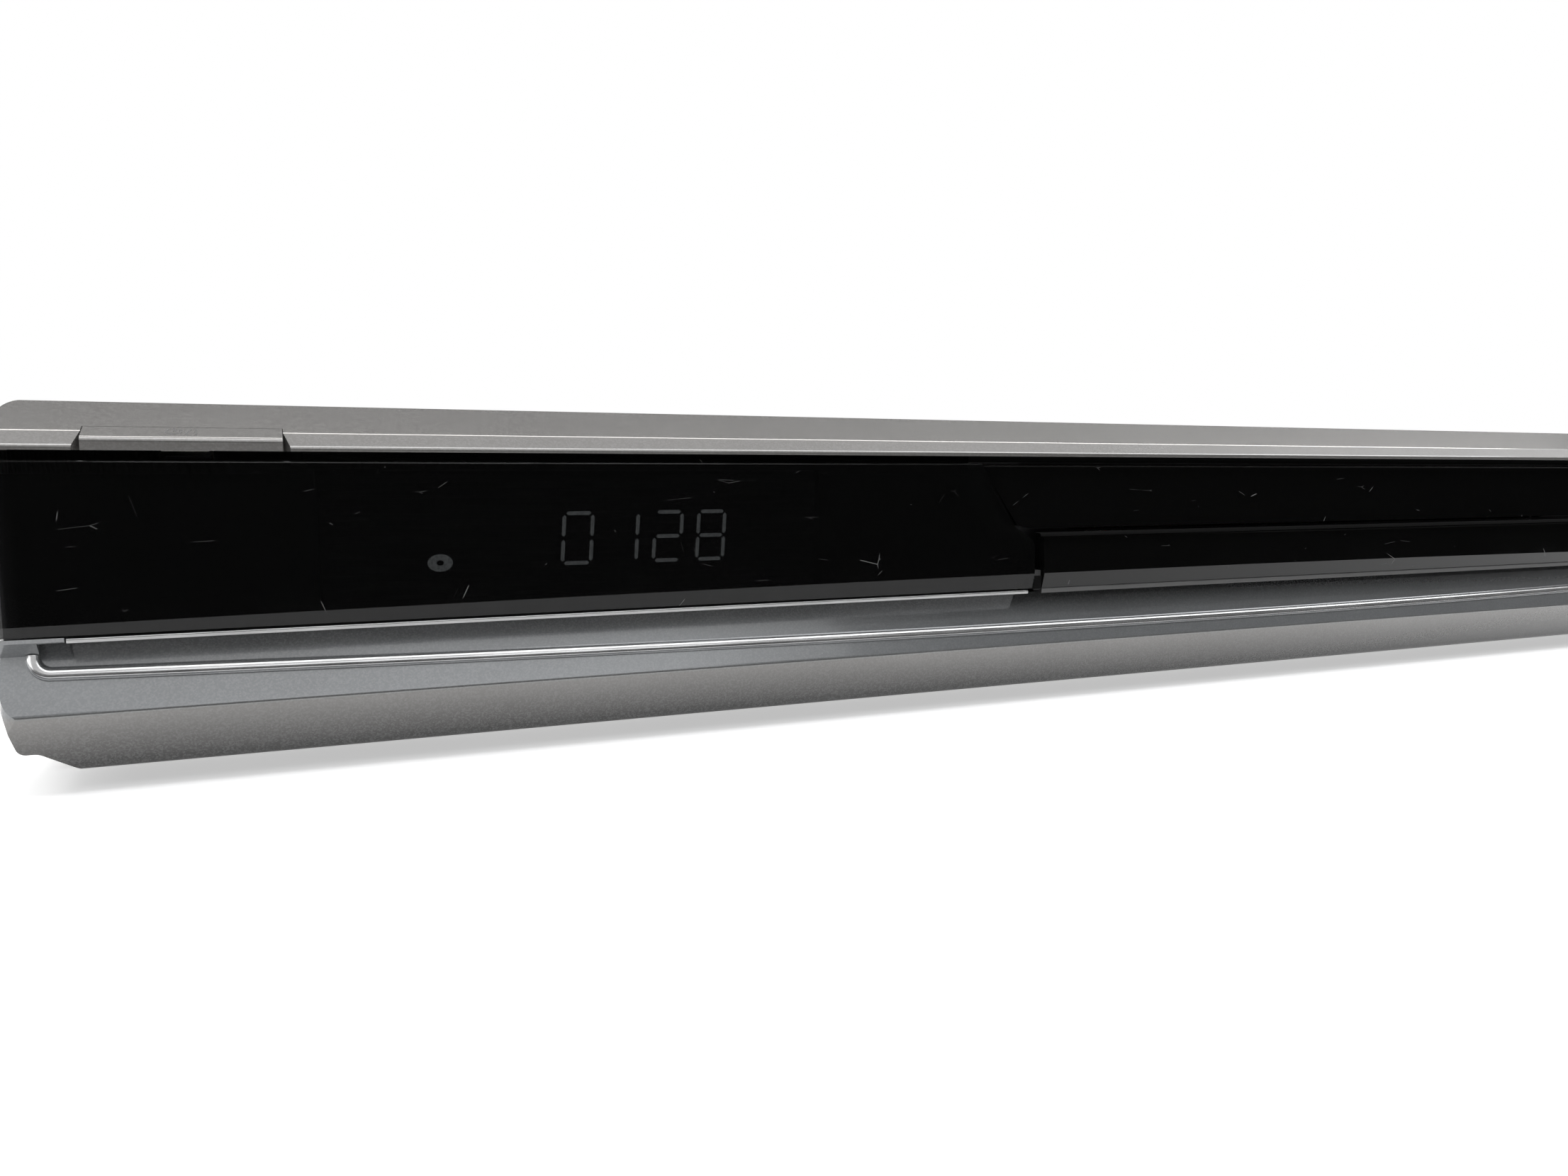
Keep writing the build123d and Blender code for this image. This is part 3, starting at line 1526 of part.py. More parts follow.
def square_socket(x, wide, tall, deep):
    """Body of a socket on the board behind the rear panel, with its nose through the panel."""
    y1 = rear_panel_y + socket_proud
    half = wide / 2 - socket_gap
    high = socket_low_z + tall - socket_gap
    body = block(x - half, x + half, y1 - deep, rear_panel_y - sheet - rest_gap, main_z + board, high)
    return body + block(x - half, x + half, y1 - 4.0, y1, socket_low_z + socket_gap, high)


def make_lan_socket():
    y1 = rear_panel_y + socket_proud
    high = socket_low_z + lan_height - socket_gap
    body = square_socket(lan_x, lan_width, lan_height, 18.0)
    body -= block(lan_x - 5.9, lan_x + 5.9, y1 - 12.0, y1 + past, high - 10.0, high - 2.6)
    return body - block(lan_x - 3.0, lan_x + 3.0, y1 - 12.0, y1 + past, high - 11.4, high - 9.0)


def make_hdmi_socket():
    y1 = rear_panel_y + socket_proud
    half = hdmi_width / 2 - socket_gap
    low, high = socket_low_z + socket_gap, socket_low_z + hdmi_height - socket_gap
    shell = block(hdmi_x - half, hdmi_x + half, y1 - 11.0, y1, low, high)
    shell -= block(hdmi_x - half + hdmi_metal, hdmi_x + half - hdmi_metal, y1 - 9.5, y1 + past,
                   low + hdmi_metal, high - hdmi_metal)
    tongue = block(hdmi_x - 5.5, hdmi_x + 5.5, y1 - 10.0, y1 - 4.8, high - 3.3, high - 2.1)
    foot = block(hdmi_x - half, hdmi_x + half, y1 - 11.0, y1 - 3.0, main_z + board, low + seam)
    return shell + tongue + foot


def make_optical_out():
    y1 = rear_panel_y + socket_proud
    high = socket_low_z + optical_size - socket_gap
    body = square_socket(optical_x, optical_size, optical_size, 12.0)
    return body - block(optical_x - 3.2, optical_x + 3.2, y1 - 0.8, y1 + past, high - 8.0, high - 1.6)


def make_av_jacks():
    """Row of round jacks on one block; each has a sleeve and a bore for the plug's pin."""
    places = jack_places()
    y0 = rear_panel_y - sheet - jack_deep
    body = block(places[0][0] - jack_pitch / 2, places[-1][0] + jack_pitch / 2,
                 y0, rear_panel_y - sheet - 0.2, main_z + board, places[0][1] + jack_rise)
    for x, z in places:
        body += lengthwise(x, z, y0 + past, rear_y, jack_radius)
        body -= lengthwise(x, z, y0 + 2 * past, rear_y + past, jack_bore)
    return body


def make_front_board():
    left, right = tray_x + loader_half_width + front_board_gap, side_x - front_board_from_side
    return pcb(left, right, sub_rear_y + board_clear, sub_rear_y + front_board_deep,
               usb_z - board - socket_gap, front_leg_inset)


def make_usb_socket():
    """Folded metal shell, open in front, with the contact tongue inside."""
    y0 = sub_front_y + 0.2
    y1 = y0 + usb_deep
    x0, x1 = usb_x - usb_width / 2 + socket_gap, usb_x + usb_width / 2 - socket_gap
    z0, z1 = usb_z + 0.1, usb_z + usb_height - socket_gap
    shell = block(x0, x1, y0, y1, z0, z1)
    shell -= block(x0 + usb_metal, x1 - usb_metal, y0 - past, y1 - past, z0 + usb_metal, z1 - usb_metal)
    tongue = block(usb_x - 5.6, usb_x + 5.6, y0 + 4.6, y1 - 0.5, z1 - usb_metal - 2.0, z1 - usb_metal - 0.4)
    return shell + tongue + block(x0, x1, y0 + 4, y1, usb_z - 0.2, z0 + 0.1)


def make_card_socket():
    x0, x1 = card_x - card_width / 2 + socket_gap, card_x + card_width / 2 - socket_gap
    y0 = sub_front_y + 0.4
    z0, z1 = card_z + socket_gap, card_z + card_height - socket_gap
    rear = sub_rear_y + card_deep
    shell = block(x0 - sheet, x1 + sheet, sub_rear_y + rest_gap, rear,
                  usb_z - 0.2, card_z + card_height + 0.8)
    shell += block(x0, x1, y0, sub_rear_y + past, z0, z1)
    return shell - block(x0 + 0.2, x1 - 0.2, y0 - past, rear - wall, z0 + 0.1, z1 - 0.1)


def brow_button_x():
    """Middle of the right brow button."""
    return side_x - button_start - button_width / 2


def make_key_boards():
    """Small boards under the two brow buttons."""
    middle = brow_button_x()
    back = wall_rear_y + key_board_deep
    low, high = key_switch_z - board, key_switch_z
    left = block(-middle - key_board_half, -middle + key_board_half, wall_rear_y, back, low, high)
    right = block(middle - key_board_half, middle + key_board_half, sub_rear_y, back, low, high)
    return group(left, right)


def make_key_switches():
    """Push switches: two under the brow buttons, two behind the round keys."""
    middle, half = brow_button_x(), switch_width / 2
    front = sub_rear_y + 0.4
    parts = both_sides(block(middle - half, middle + half, front, front + switch_width,
                             key_switch_z, key_switch_z + switch_height))
    base_z = usb_z - 0.2
    for x in (play_x, stop_x):
        parts.append(block(x - half, x + half, front_switch_y, front_switch_y + 4.0,
                           base_z, base_z + switch_width))
    return group(*parts)


nodes = {
    "front_bezel": make_front_bezel,
    "window_panel": make_window_panel,
    "window_trim": make_window_trim,
    "right_panel": make_right_panel,
    "sub_panel": make_sub_panel,
    "flap": make_flap,
    "flap_trim": make_flap_trim,
    "power_button": brow_button,
    "open_button": lambda: mirror(brow_button(), about=Plane.YZ),
    "play_button": lambda: make_key(play_x),
    "stop_button": lambda: make_key(stop_x),
    "tray_front": make_tray_front,
    "disc_tray": make_disc_tray,
    "tray_gear": make_tray_gear,
    "belt_pulley": make_belt_pulley,
    "motor_pulley": make_motor_pulley,
    "drive_belt": make_drive_belt,
    "loading_motor": make_loading_motor,
    "loader_frame": make_loader_frame,
    "clamp_bridge": make_clamp_bridge,
    "clamper": make_clamper,
    "traverse_frame": make_traverse_frame,
    "isolators": make_isolators,
    "spindle_motor": make_spindle_motor,
    "turntable": make_turntable,
    "guide_rods": make_guide_rods,
    "pickup_sled": make_pickup_sled,
    "objective_lens": make_objective_lens,
    "feed_screw": make_feed_screw,
    "feed_motor": make_feed_motor,
    "lift_cam": make_lift_cam,
    "top_cover": make_top_cover,
    "bottom_chassis": make_bottom_chassis,
    "rear_panel": make_rear_panel,
    "feet": make_feet,
    "cover_screws": make_cover_screws,
    "fan_frame": make_fan_frame,
    "fan_rotor": make_fan_rotor,
    "display_tube": make_display_tube,
    "display_board": make_display_board,
    "main_board": make_main_board,
    "main_chips": make_main_chips,
    "heat_sink": make_heat_sink,
    "power_board": make_power_board,
    "transformer": make_transformer,
    "capacitors": make_capacitors,
    "mains_inlet": make_mains_inlet,
    "lan_socket": make_lan_socket,
    "hdmi_socket": make_hdmi_socket,
    "optical_out": make_optical_out,
    "av_jacks": make_av_jacks,
    "front_board": make_front_board,
    "usb_socket": make_usb_socket,
    "card_socket": make_card_socket,
    "key_boards": make_key_boards,
    "key_switches": make_key_switches,
}

os.makedirs("parts", exist_ok=True)
for name, make in nodes.items():
    export_step(make(), f"parts/{name}.step")
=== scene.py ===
"""Looks of a slim disc player: finishes, prints, screws, studio and camera around the fixed frame."""
import json
import math

import bpy
import bmesh
from mathutils import Matrix, Vector


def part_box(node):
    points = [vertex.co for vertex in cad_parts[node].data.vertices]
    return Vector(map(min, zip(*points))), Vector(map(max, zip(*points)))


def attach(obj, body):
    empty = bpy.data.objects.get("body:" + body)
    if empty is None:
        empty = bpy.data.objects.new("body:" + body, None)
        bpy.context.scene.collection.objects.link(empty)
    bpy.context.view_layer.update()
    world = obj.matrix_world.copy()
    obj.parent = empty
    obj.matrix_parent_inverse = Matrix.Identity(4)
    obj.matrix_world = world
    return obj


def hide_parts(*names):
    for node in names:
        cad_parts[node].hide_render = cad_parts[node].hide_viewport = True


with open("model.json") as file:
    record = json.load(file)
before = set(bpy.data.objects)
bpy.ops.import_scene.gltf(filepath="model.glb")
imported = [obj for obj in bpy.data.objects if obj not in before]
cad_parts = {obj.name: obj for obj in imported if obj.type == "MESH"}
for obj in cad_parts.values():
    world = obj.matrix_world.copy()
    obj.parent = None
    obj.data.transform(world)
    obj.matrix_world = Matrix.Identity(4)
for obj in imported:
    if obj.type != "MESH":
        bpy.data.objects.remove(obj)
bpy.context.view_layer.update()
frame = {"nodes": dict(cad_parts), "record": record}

MM = 0.001

# Node helpers


def new_material(name):
    """An empty node material with its output and main shader."""
    material = bpy.data.materials.new(name)
    material.use_nodes = True
    tree = material.node_tree
    shader = tree.nodes["Principled BSDF"]
    return material, tree, shader


def add(tree, kind, inputs=None, **settings):
    """A node with its settings; an input may be a value or another node's output."""
    node = tree.nodes.new(kind)
    for key, value in settings.items():
        setattr(node, key, value)
    for key, value in (inputs or {}).items():
        if isinstance(value, bpy.types.NodeSocket):
            tree.links.new(value, node.inputs[key])
        else:
            node.inputs[key].default_value = value
    return node


def place(tree, stretch=(1, 1, 1)):
    """Coordinates in the object's own metres, stretched along its axes."""
    here = add(tree, "ShaderNodeTexCoord").outputs["Object"]
    return add(tree, "ShaderNodeMapping", {"Vector": here, "Scale": stretch}).outputs[0]


def noise(tree, size, stretch=(1, 1, 1), detail=2.0, rough=0.5):
    """Soft noise with features of about a size in metres."""
    inputs = {"Vector": place(tree, stretch), "Scale": 1 / size,
              "Detail": detail, "Roughness": rough}
    return add(tree, "ShaderNodeTexNoise", inputs).outputs["Fac"]


def cells(tree, size, stretch=(1, 1, 1), feature="F1"):
    """Cells of about a size in metres: distance and a random colour for each."""
    inputs = {"Vector": place(tree, stretch), "Scale": 1 / size}
    return add(tree, "ShaderNodeTexVoronoi", inputs, feature=feature)


def waves(tree, width, direction):
    """Soft bands of about a width in metres, one after the other along an axis."""
    turn = 6.283
    inputs = {"Vector": place(tree), "Scale": 1 / width / turn, "Distortion": 0.0}
    return add(tree, "ShaderNodeTexWave", inputs, bands_direction=direction).outputs["Fac"]


def ramp(tree, value, low, high, to_low=0.0, to_high=1.0):
    """A value carried from one range to another, without leaving it."""
    inputs = {"Value": value, "From Min": low, "From Max": high,
              "To Min": to_low, "To Max": to_high}
    return add(tree, "ShaderNodeMapRange", inputs).outputs[0]


def blend(tree, factor, first, second):
    """A colour between two others, which are inputs 6 and 7 of the node."""
    inputs = {0: factor, 6: first, 7: second}
    return add(tree, "ShaderNodeMix", inputs, data_type="RGBA").outputs[2]


def calc(tree, operation, first, second=0.0):
    """Arithmetic on two values."""
    return add(tree, "ShaderNodeMath", {0: first, 1: second}, operation=operation).outputs[0]


def times(tree, first, second):
    """One value multiplied by another."""
    return calc(tree, "MULTIPLY", first, second)


def mid(tree, value, to_low=0.0, to_high=1.0):
    """The middle of a noise's range, where most of it lies, carried to another range."""
    return ramp(tree, value, 0.3, 0.7, to_low, to_high)


def between(tree, value, low, high, soft=0.05 * MM):
    """1 where a value lies between two limits, 0 elsewhere."""
    above, below = ramp(tree, value, low, low + soft), ramp(tree, value, high, high - soft)
    return times(tree, above, below)


def channel(tree, colour, number=0):
    """One part of a colour."""
    return add(tree, "ShaderNodeSeparateColor", {"Color": colour}).outputs[number]


def bump(tree, height, depth, strength):
    """A normal from a height of 0 to 1, as deep as depth in metres."""
    inputs = {"Height": height, "Distance": depth, "Strength": strength}
    return add(tree, "ShaderNodeBump", inputs).outputs[0]


def grey(level):
    """An even grey."""
    return (level, level, level, 1.0)


def set_plain(shader, **values):
    """Values that are the same all over, on the shader's own sockets."""
    for key, value in values.items():
        shader.inputs[key.replace("_", " ")].default_value = value


def link(tree, output, shader, key):
    """A node's output led into the main shader."""
    tree.links.new(output, shader.inputs[key])


def marks(tree, size, share, stretch, spread):
    """Sparse round marks, such as dust: 1 on a mark and 0 elsewhere."""
    spots = cells(tree, size, stretch)
    thin = ramp(tree, spots.outputs["Distance"], spread, spread * 0.6)
    chosen = channel(tree, spots.outputs["Color"])
    return times(tree, thin, ramp(tree, chosen, share, share * 0.9))


def scratches(tree, size, width, share, stretch=(1, 0.3, 1)):
    """Sparse hair scratches: short stretches of thin lines, 1 on a line and 0 elsewhere."""
    edge = cells(tree, size, stretch, "DISTANCE_TO_EDGE")
    line = ramp(tree, edge.outputs["Distance"], width, width * 0.4)
    kept = noise(tree, size * 0.55, stretch, 1.0)
    return times(tree, line, ramp(tree, kept, 1 - share, 1 - share * 0.9))


def tinted(level, warm=0.0):
    """A grey with a little warmth, or coolness where it is negative."""
    return (level * (1 + warm), level, level * (1 - warm), 1)


# Where the colour of the front moulding changes, for its painted shade, its painted reflections and
# the black inside of its opening: each pair is the start and the end of a change

chin_shade_z = (11.2 * MM, 4.5 * MM)
chin_warm_z = (12.2 * MM, 11.4 * MM)
hollow_shade_z = (17.6 * MM, 19.7 * MM)
hollow_low_z, hollow_high_z = 17.3 * MM, 19.8 * MM
hollow_end_x = (211.4 * MM, 211.2 * MM)
rim_low_z = 19.75 * MM
rim_y = (-119.85 * MM, -119.75 * MM)
ledge_z = 21.3 * MM
upper_warm_z = (24 * MM, 46 * MM)
brow_under_z = 47.99 * MM
opening_y = (-117.35 * MM, -117.3 * MM)
opening_end_x = (213.1 * MM, 213.0 * MM)

# Materials


def silver_colour(tree, x, y, z, shine):
    """Warm above and at the chin and cooler between, as painted reflections; darker in the recess, on
    the ledge and under the chin, as painted shade.
    """
    cloud = mid(tree, noise(tree, 26 * MM, (1, 2, 2), 3.0))
    # Painted reflections: the cool tint between and the warm tint above and at the chin stand for the
    # surroundings that these faces mirror.
    cool = blend(tree, cloud, tinted(0.185, -0.03), tinted(0.21, -0.035))
    warm = blend(tree, cloud, tinted(0.18, 0.04), tinted(0.20, 0.035))
    base = blend(tree, ramp(tree, z, *upper_warm_z), cool, warm)
    base = blend(tree, ramp(tree, z, *chin_warm_z), base, warm)
    # Painted shade: darker towards the bottom of the chin.
    base = blend(tree, times(tree, ramp(tree, z, *chin_shade_z), 0.9), base, tinted(0.035))
    # Painted shade: darker on the ledge under the strip and the panels.
    rim = times(tree, between(tree, z, rim_low_z, ledge_z), ramp(tree, y, *rim_y))
    base = blend(tree, times(tree, rim, 0.6), base, tinted(0.03))
    # Painted shade: darker towards the top of the recess above the bead, where the strip overhangs
    # it.
    hollow = ramp(tree, z, *hollow_shade_z, 0.0, 0.6)
    hollow = times(tree, hollow, between(tree, z, hollow_low_z, hollow_high_z))
    hollow = times(tree, hollow, ramp(tree, calc(tree, "ABSOLUTE", x), *hollow_end_x))
    base = blend(tree, hollow, base, tinted(0.04))
    base = blend(tree, ramp(tree, shine, 0.3, 1.0, 0.0, 0.13), base, tinted(0.42))
    dust = marks(tree, 4 * MM, 0.12, (1, 1, 1), 0.035)
    nick = scratches(tree, 21 * MM, 0.006, 0.22)
    worn = calc(tree, "MAXIMUM", times(tree, dust, 0.3), times(tree, nick, 0.5))
    return blend(tree, worn, base, tinted(0.5))


def silver_paint():
    """Satin silver moulding with fine flake and a clear coat that thins out under the chin.

    The paint ends at the black inside of the opening behind the panels."""
    material, tree, shader = new_material("silver_paint")
    shine = channel(tree, cells(tree, 0.22 * MM).outputs["Color"])
    x, y, z = add(tree, "ShaderNodeSeparateXYZ", {"Vector": place(tree)}).outputs
    inside = times(tree, ramp(tree, y, *opening_y), between(tree, z, ledge_z, brow_under_z))
    inside = times(tree, inside, ramp(tree, calc(tree, "ABSOLUTE", x), *opening_end_x))
    base = blend(tree, inside, silver_colour(tree, x, y, z, shine), grey(0.012))
    link(tree, base, shader, "Base Color")
    link(tree, ramp(tree, inside, 0.0, 1.0, 0.5, 0.0), shader, "Metallic")
    rough = calc(tree, "ADD", ramp(tree, shine, 0.0, 1.0, 0.18, 0.23), times(tree, inside, 0.3))
    link(tree, rough, shader, "Roughness")
    coat = ramp(tree, ramp(tree, z, *chin_shade_z), 0.0, 1.0, 1.0, 0.15)
    link(tree, times(tree, coat, ramp(tree, inside, 1.0, 0.0)), shader, "Coat Weight")
    set_plain(shader, Coat_Roughness=0.07)
    return material


def silver_trim(name="silver_trim", level=0.36, rough=0.2):
    """Smoother silver strip."""
    material, tree, shader = new_material(name)
    wear = noise(tree, 2 * MM, (0.2, 1, 1), 3.0)
    base = blend(tree, ramp(tree, wear, 0.35, 0.7), tinted(level * 0.9), tinted(level * 1.15))
    link(tree, base, shader, "Base Color")
    link(tree, mid(tree, wear, rough * 0.9, rough * 1.3), shader, "Roughness")
    set_plain(shader, Metallic=0.85)
    return material


def gloss_black(name, alpha=1.0):
    """Polished black plastic with dust, hair scratches and a rubbed sheen."""
    material, tree, shader = new_material(name)
    dust = marks(tree, 3.5 * MM, 0.11, (1, 0.2, 1), 0.035)
    lint = scratches(tree, 13 * MM, 0.006, 0.33)
    hair = scratches(tree, 7 * MM, 0.008, 0.30, (0.5, 0.3, 2.2))
    lines = calc(tree, "MAXIMUM", lint, times(tree, hair, 0.5))
    dirt = calc(tree, "MAXIMUM", times(tree, dust, 0.6), lines)
    link(tree, blend(tree, times(tree, dirt, 0.42), grey(0.003), grey(0.36)), shader, "Base Color")
    rub = noise(tree, 14 * MM, (1, 0.3, 1), 4.0, 0.6)
    gloss = ramp(tree, rub, 0.35, 0.75, 0.03, 0.07)
    link(tree, calc(tree, "ADD", gloss, times(tree, dirt, 0.5)), shader, "Roughness")
    set_plain(shader, IOR=1.43)
    if alpha < 1.0:
        link(tree, calc(tree, "MAXIMUM", times(tree, dirt, 0.9), alpha), shader, "Alpha")
    return material


def moulded_black(name="moulded_black", level=0.018, grain=0.25 * MM, rough=0.5):
    """Matt black plastic with a fine spark-eroded grain."""
    material, tree, shader = new_material(name)
    fine = noise(tree, grain, detail=3.0, rough=0.6)
    tone = noise(tree, 12 * MM)
    base = blend(tree, mid(tree, tone), grey(level * 0.85), grey(level * 1.25))
    link(tree, base, shader, "Base Color")
    link(tree, mid(tree, fine, rough - 0.06, rough + 0.1), shader, "Roughness")
    link(tree, bump(tree, fine, 0.02 * MM, 0.5), shader, "Normal")
    return material


def cover_paint():
    """Satin silver grey paint on folded sheet, with a fine leathery texture."""
    material, tree, shader = new_material("cover_paint")
    skin = cells(tree, 0.7 * MM, feature="SMOOTH_F1").outputs["Distance"]
    tone = noise(tree, 40 * MM, detail=3.0)
    base = blend(tree, mid(tree, tone), (0.30, 0.297, 0.29, 1), (0.315, 0.312, 0.305, 1))
    scuff = marks(tree, 26 * MM, 0.25, (0.5, 2.5, 1), 0.02)
    link(tree, blend(tree, times(tree, scuff, 0.4), base, grey(0.55)), shader, "Base Color")
    link(tree, mid(tree, tone, 0.41, 0.44), shader, "Roughness")
    set_plain(shader, Metallic=0.55)
    link(tree, bump(tree, skin, 0.03 * MM, 0.35), shader, "Normal")
    return material


def plated_steel(name="plated_steel", level=0.41, stretch=(1, 12, 12)):
    """Zinc-plated sheet: faint rolling lines and a mottled bloom."""
    material, tree, shader = new_material(name)
    lines = noise(tree, 1.5 * MM, stretch, 3.0, 0.6)
    bloom = cells(tree, 7 * MM).outputs["Color"]
    patch = channel(tree, bloom, 1)
    mixed = calc(tree, "ADD", times(tree, lines, 0.7), times(tree, patch, 0.3))
    base = blend(tree, ramp(tree, mixed, 0.3, 0.75), (level * 0.9, level * 0.9, level * 0.88, 1),
                 (level * 1.15, level * 1.15, level * 1.14, 1))
    link(tree, base, shader, "Base Color")
    link(tree, mid(tree, mixed, 0.28, 0.42), shader, "Roughness")
    set_plain(shader, Metallic=1.0)
    link(tree, bump(tree, lines, 0.01 * MM, 0.35), shader, "Normal")
    return material


def motor_can():
    """Drawn steel can of a motor."""
    return plated_steel("motor_can", 0.46, (1, 1, 20))


def jack_metal():
    """Nickel sleeve with a warm tint and fine turning lines."""
    material, tree, shader = new_material("jack_metal")
    rings = noise(tree, 0.4 * MM, (1, 4, 1))
    base = blend(tree, rings, (0.62, 0.60, 0.53, 1), (0.74, 0.72, 0.66, 1))
    link(tree, base, shader, "Base Color")
    link(tree, mid(tree, rings, 0.16, 0.3), shader, "Roughness")
    set_plain(shader, Metallic=1.0)
    return material


def white_nylon():
    """Off-white moulded nylon, slightly translucent, with grease marks."""
    material, tree, shader = new_material("white_nylon")
    tone = noise(tree, 3 * MM, detail=3.0)
    base = blend(tree, ramp(tree, tone, 0.35, 0.7), (0.66, 0.655, 0.61, 1), (0.78, 0.775, 0.74, 1))
    link(tree, base, shader, "Base Color")
    link(tree, mid(tree, tone, 0.34, 0.5), shader, "Roughness")
    set_plain(shader, Subsurface_Weight=0.15, Subsurface_Scale=0.5 * MM)
    return material


def soft_rubber():
    """Matt black rubber with a dusty bloom."""
    material, tree, shader = new_material("soft_rubber")
    tone = noise(tree, 2.5 * MM, detail=4.0, rough=0.6)
    base = blend(tree, ramp(tree, tone, 0.4, 0.75), grey(0.016), grey(0.04))
    link(tree, base, shader, "Base Color")
    link(tree, mid(tree, tone, 0.62, 0.8), shader, "Roughness")
    link(tree, bump(tree, noise(tree, 0.3 * MM), 0.02 * MM, 0.4), shader, "Normal")
    return material


def display_glass():
    """Front glass of the display tube: dark, with the faint grid of its electrodes."""
    material, tree, shader = new_material("display_glass")
    wires = ramp(tree, waves(tree, 1.2 * MM, "Z"), 0.3, 1.0, 0.0, 0.5)
    base = blend(tree, wires, (0.010, 0.013, 0.014, 1), (0.020, 0.026, 0.028, 1))
    link(tree, base, shader, "Base Color")
    link(tree, mid(tree, noise(tree, 8 * MM), 0.08, 0.16), shader, "Roughness")
    return material


def lens_glass():
    """Coated lens: deep blue, turning violet towards its rim with the viewing angle, a painted
    reflection of its coating.
    """
    material, tree, shader = new_material("lens_glass")
    # Painted reflection: violet where the surface is seen at a glancing angle.
    rim = add(tree, "ShaderNodeLayerWeight", {"Blend": 0.35}).outputs["Facing"]
    link(tree, blend(tree, rim, (0.02, 0.03, 0.10, 1), (0.14, 0.08, 0.30, 1)), shader, "Base Color")
    link(tree, mid(tree, noise(tree, 1.5 * MM), 0.03, 0.08), shader, "Roughness")
    set_plain(shader, Coat_Weight=1.0, Coat_Roughness=0.03)
    return material


def circuit_board():
    """Green solder mask over tracks, with tinned pads."""
    material, tree, shader = new_material("circuit_board")
    inputs = {"Vector": place(tree), "Scale": 1 / (9 * MM), "Mortar Size": 0.035,
              "Color1": grey(0.0), "Color2": grey(0.0), "Mortar": grey(1.0)}
    tracks = add(tree, "ShaderNodeTexBrick", inputs).outputs["Color"]
    dots = cells(tree, 3.2 * MM)
    pad = ramp(tree, dots.outputs["Distance"], 0.26, 0.2)
    mask = blend(tree, tracks, (0.010, 0.075, 0.035, 1), (0.022, 0.13, 0.06, 1))
    link(tree, blend(tree, pad, mask, grey(0.5)), shader, "Base Color")
    link(tree, pad, shader, "Metallic")
    link(tree, mid(tree, noise(tree, 2 * MM), 0.3, 0.45), shader, "Roughness")
    return material


def chip_black():
    """Fine-grained black of chips."""
    return moulded_black("chip_black", 0.02, 0.12 * MM, 0.42)


def can_sleeve():
    """Shrunk sleeve of a capacitor, dark blue with a lighter stripe."""
    material, tree, shader = new_material("can_sleeve")
    stripe = ramp(tree, waves(tree, 14 * MM, "X"), 0.86, 0.9)
    base = blend(tree, stripe, (0.008, 0.014, 0.05, 1), (0.25, 0.28, 0.33, 1))
    link(tree, base, shader, "Base Color")
    link(tree, mid(tree, noise(tree, 4 * MM), 0.18, 0.3), shader, "Roughness")
    return material


def heat_sink_metal():
    """Extruded aluminium with drawing lines along its fins."""
    material, tree, shader = new_material("heat_sink_metal")
    lines = noise(tree, 0.5 * MM, (8, 0.3, 8), 3.0)
    link(tree, blend(tree, lines, grey(0.42), grey(0.62)), shader, "Base Color")
    link(tree, mid(tree, lines, 0.3, 0.45), shader, "Roughness")
    set_plain(shader, Metallic=1.0)
    link(tree, bump(tree, lines, 0.02 * MM, 0.5), shader, "Normal")
    return material


def display_glow():
    """Segments of the display as seen through the window: dim, grey-teal, finely netted."""
    material, tree, shader = new_material("display_glow")
    net = cells(tree, 0.35 * MM).outputs["Distance"]
    base = blend(tree, ramp(tree, net, 0.1, 0.7), (0.30, 0.325, 0.33, 1), (0.62, 0.66, 0.67, 1))
    link(tree, base, shader, "Base Color")
    link(tree, base, shader, "Emission Color")
    set_plain(shader, Emission_Strength=1.4, Roughness=0.6)
    return material


def dark_print():
    """Thin grey pad print with slightly uneven cover."""
    material, tree, shader = new_material("dark_print")
    cover = noise(tree, 0.3 * MM, detail=3.0)
    link(tree, blend(tree, mid(tree, cover), grey(0.05), grey(0.09)), shader, "Base Color")
    link(tree, mid(tree, cover, 0.4, 0.55), shader, "Roughness")
    return material


def pale_print():
    """Thin off-white pad print."""
    material, tree, shader = new_material("pale_print")
    cover = noise(tree, 0.3 * MM, detail=3.0)
    link(tree, blend(tree, mid(tree, cover), grey(0.42), grey(0.55)), shader, "Base Color")
    link(tree, mid(tree, cover, 0.4, 0.55), shader, "Roughness")
    return material


def collar_plastic(colour):
    """Coloured collar of a jack: glossy plastic with a faint mottle."""
    shade = {"green": (0.03, 0.30, 0.07), "blue": (0.02, 0.10, 0.42), "red": (0.50, 0.02, 0.02),
             "white": (0.62, 0.61, 0.57)}[colour]
    material, tree, shader = new_material(f"collar_{colour}")
    tone = mid(tree, noise(tree, 1.5 * MM, detail=3.0))
    dark = tuple(part * 0.82 for part in shade)
    link(tree, blend(tree, tone, (*dark, 1), (*shade, 1)), shader, "Base Color")
    link(tree, ramp(tree, tone, 0.0, 1.0, 0.26, 0.36), shader, "Roughness")
    return material


def gilt():
    """Thin gold plating on contact springs."""
    material, tree, shader = new_material("gilt")
    wear = noise(tree, 0.6 * MM, detail=3.0)
    base = blend(tree, wear, (0.80, 0.56, 0.22, 1), (0.90, 0.68, 0.34, 1))
    link(tree, base, shader, "Base Color")
    link(tree, mid(tree, wear, 0.18, 0.3), shader, "Roughness")
    set_plain(shader, Metallic=1.0)
    return material


def jack_core():
    """Pale insulating core of a jack."""
    material, tree, shader = new_material("jack_core")
    tone = noise(tree, 1.0 * MM)
    base = blend(tree, tone, (0.50, 0.49, 0.45, 1), (0.60, 0.59, 0.55, 1))
    link(tree, base, shader, "Base Color")
    link(tree, mid(tree, tone, 0.35, 0.5), shader, "Roughness")
    return material


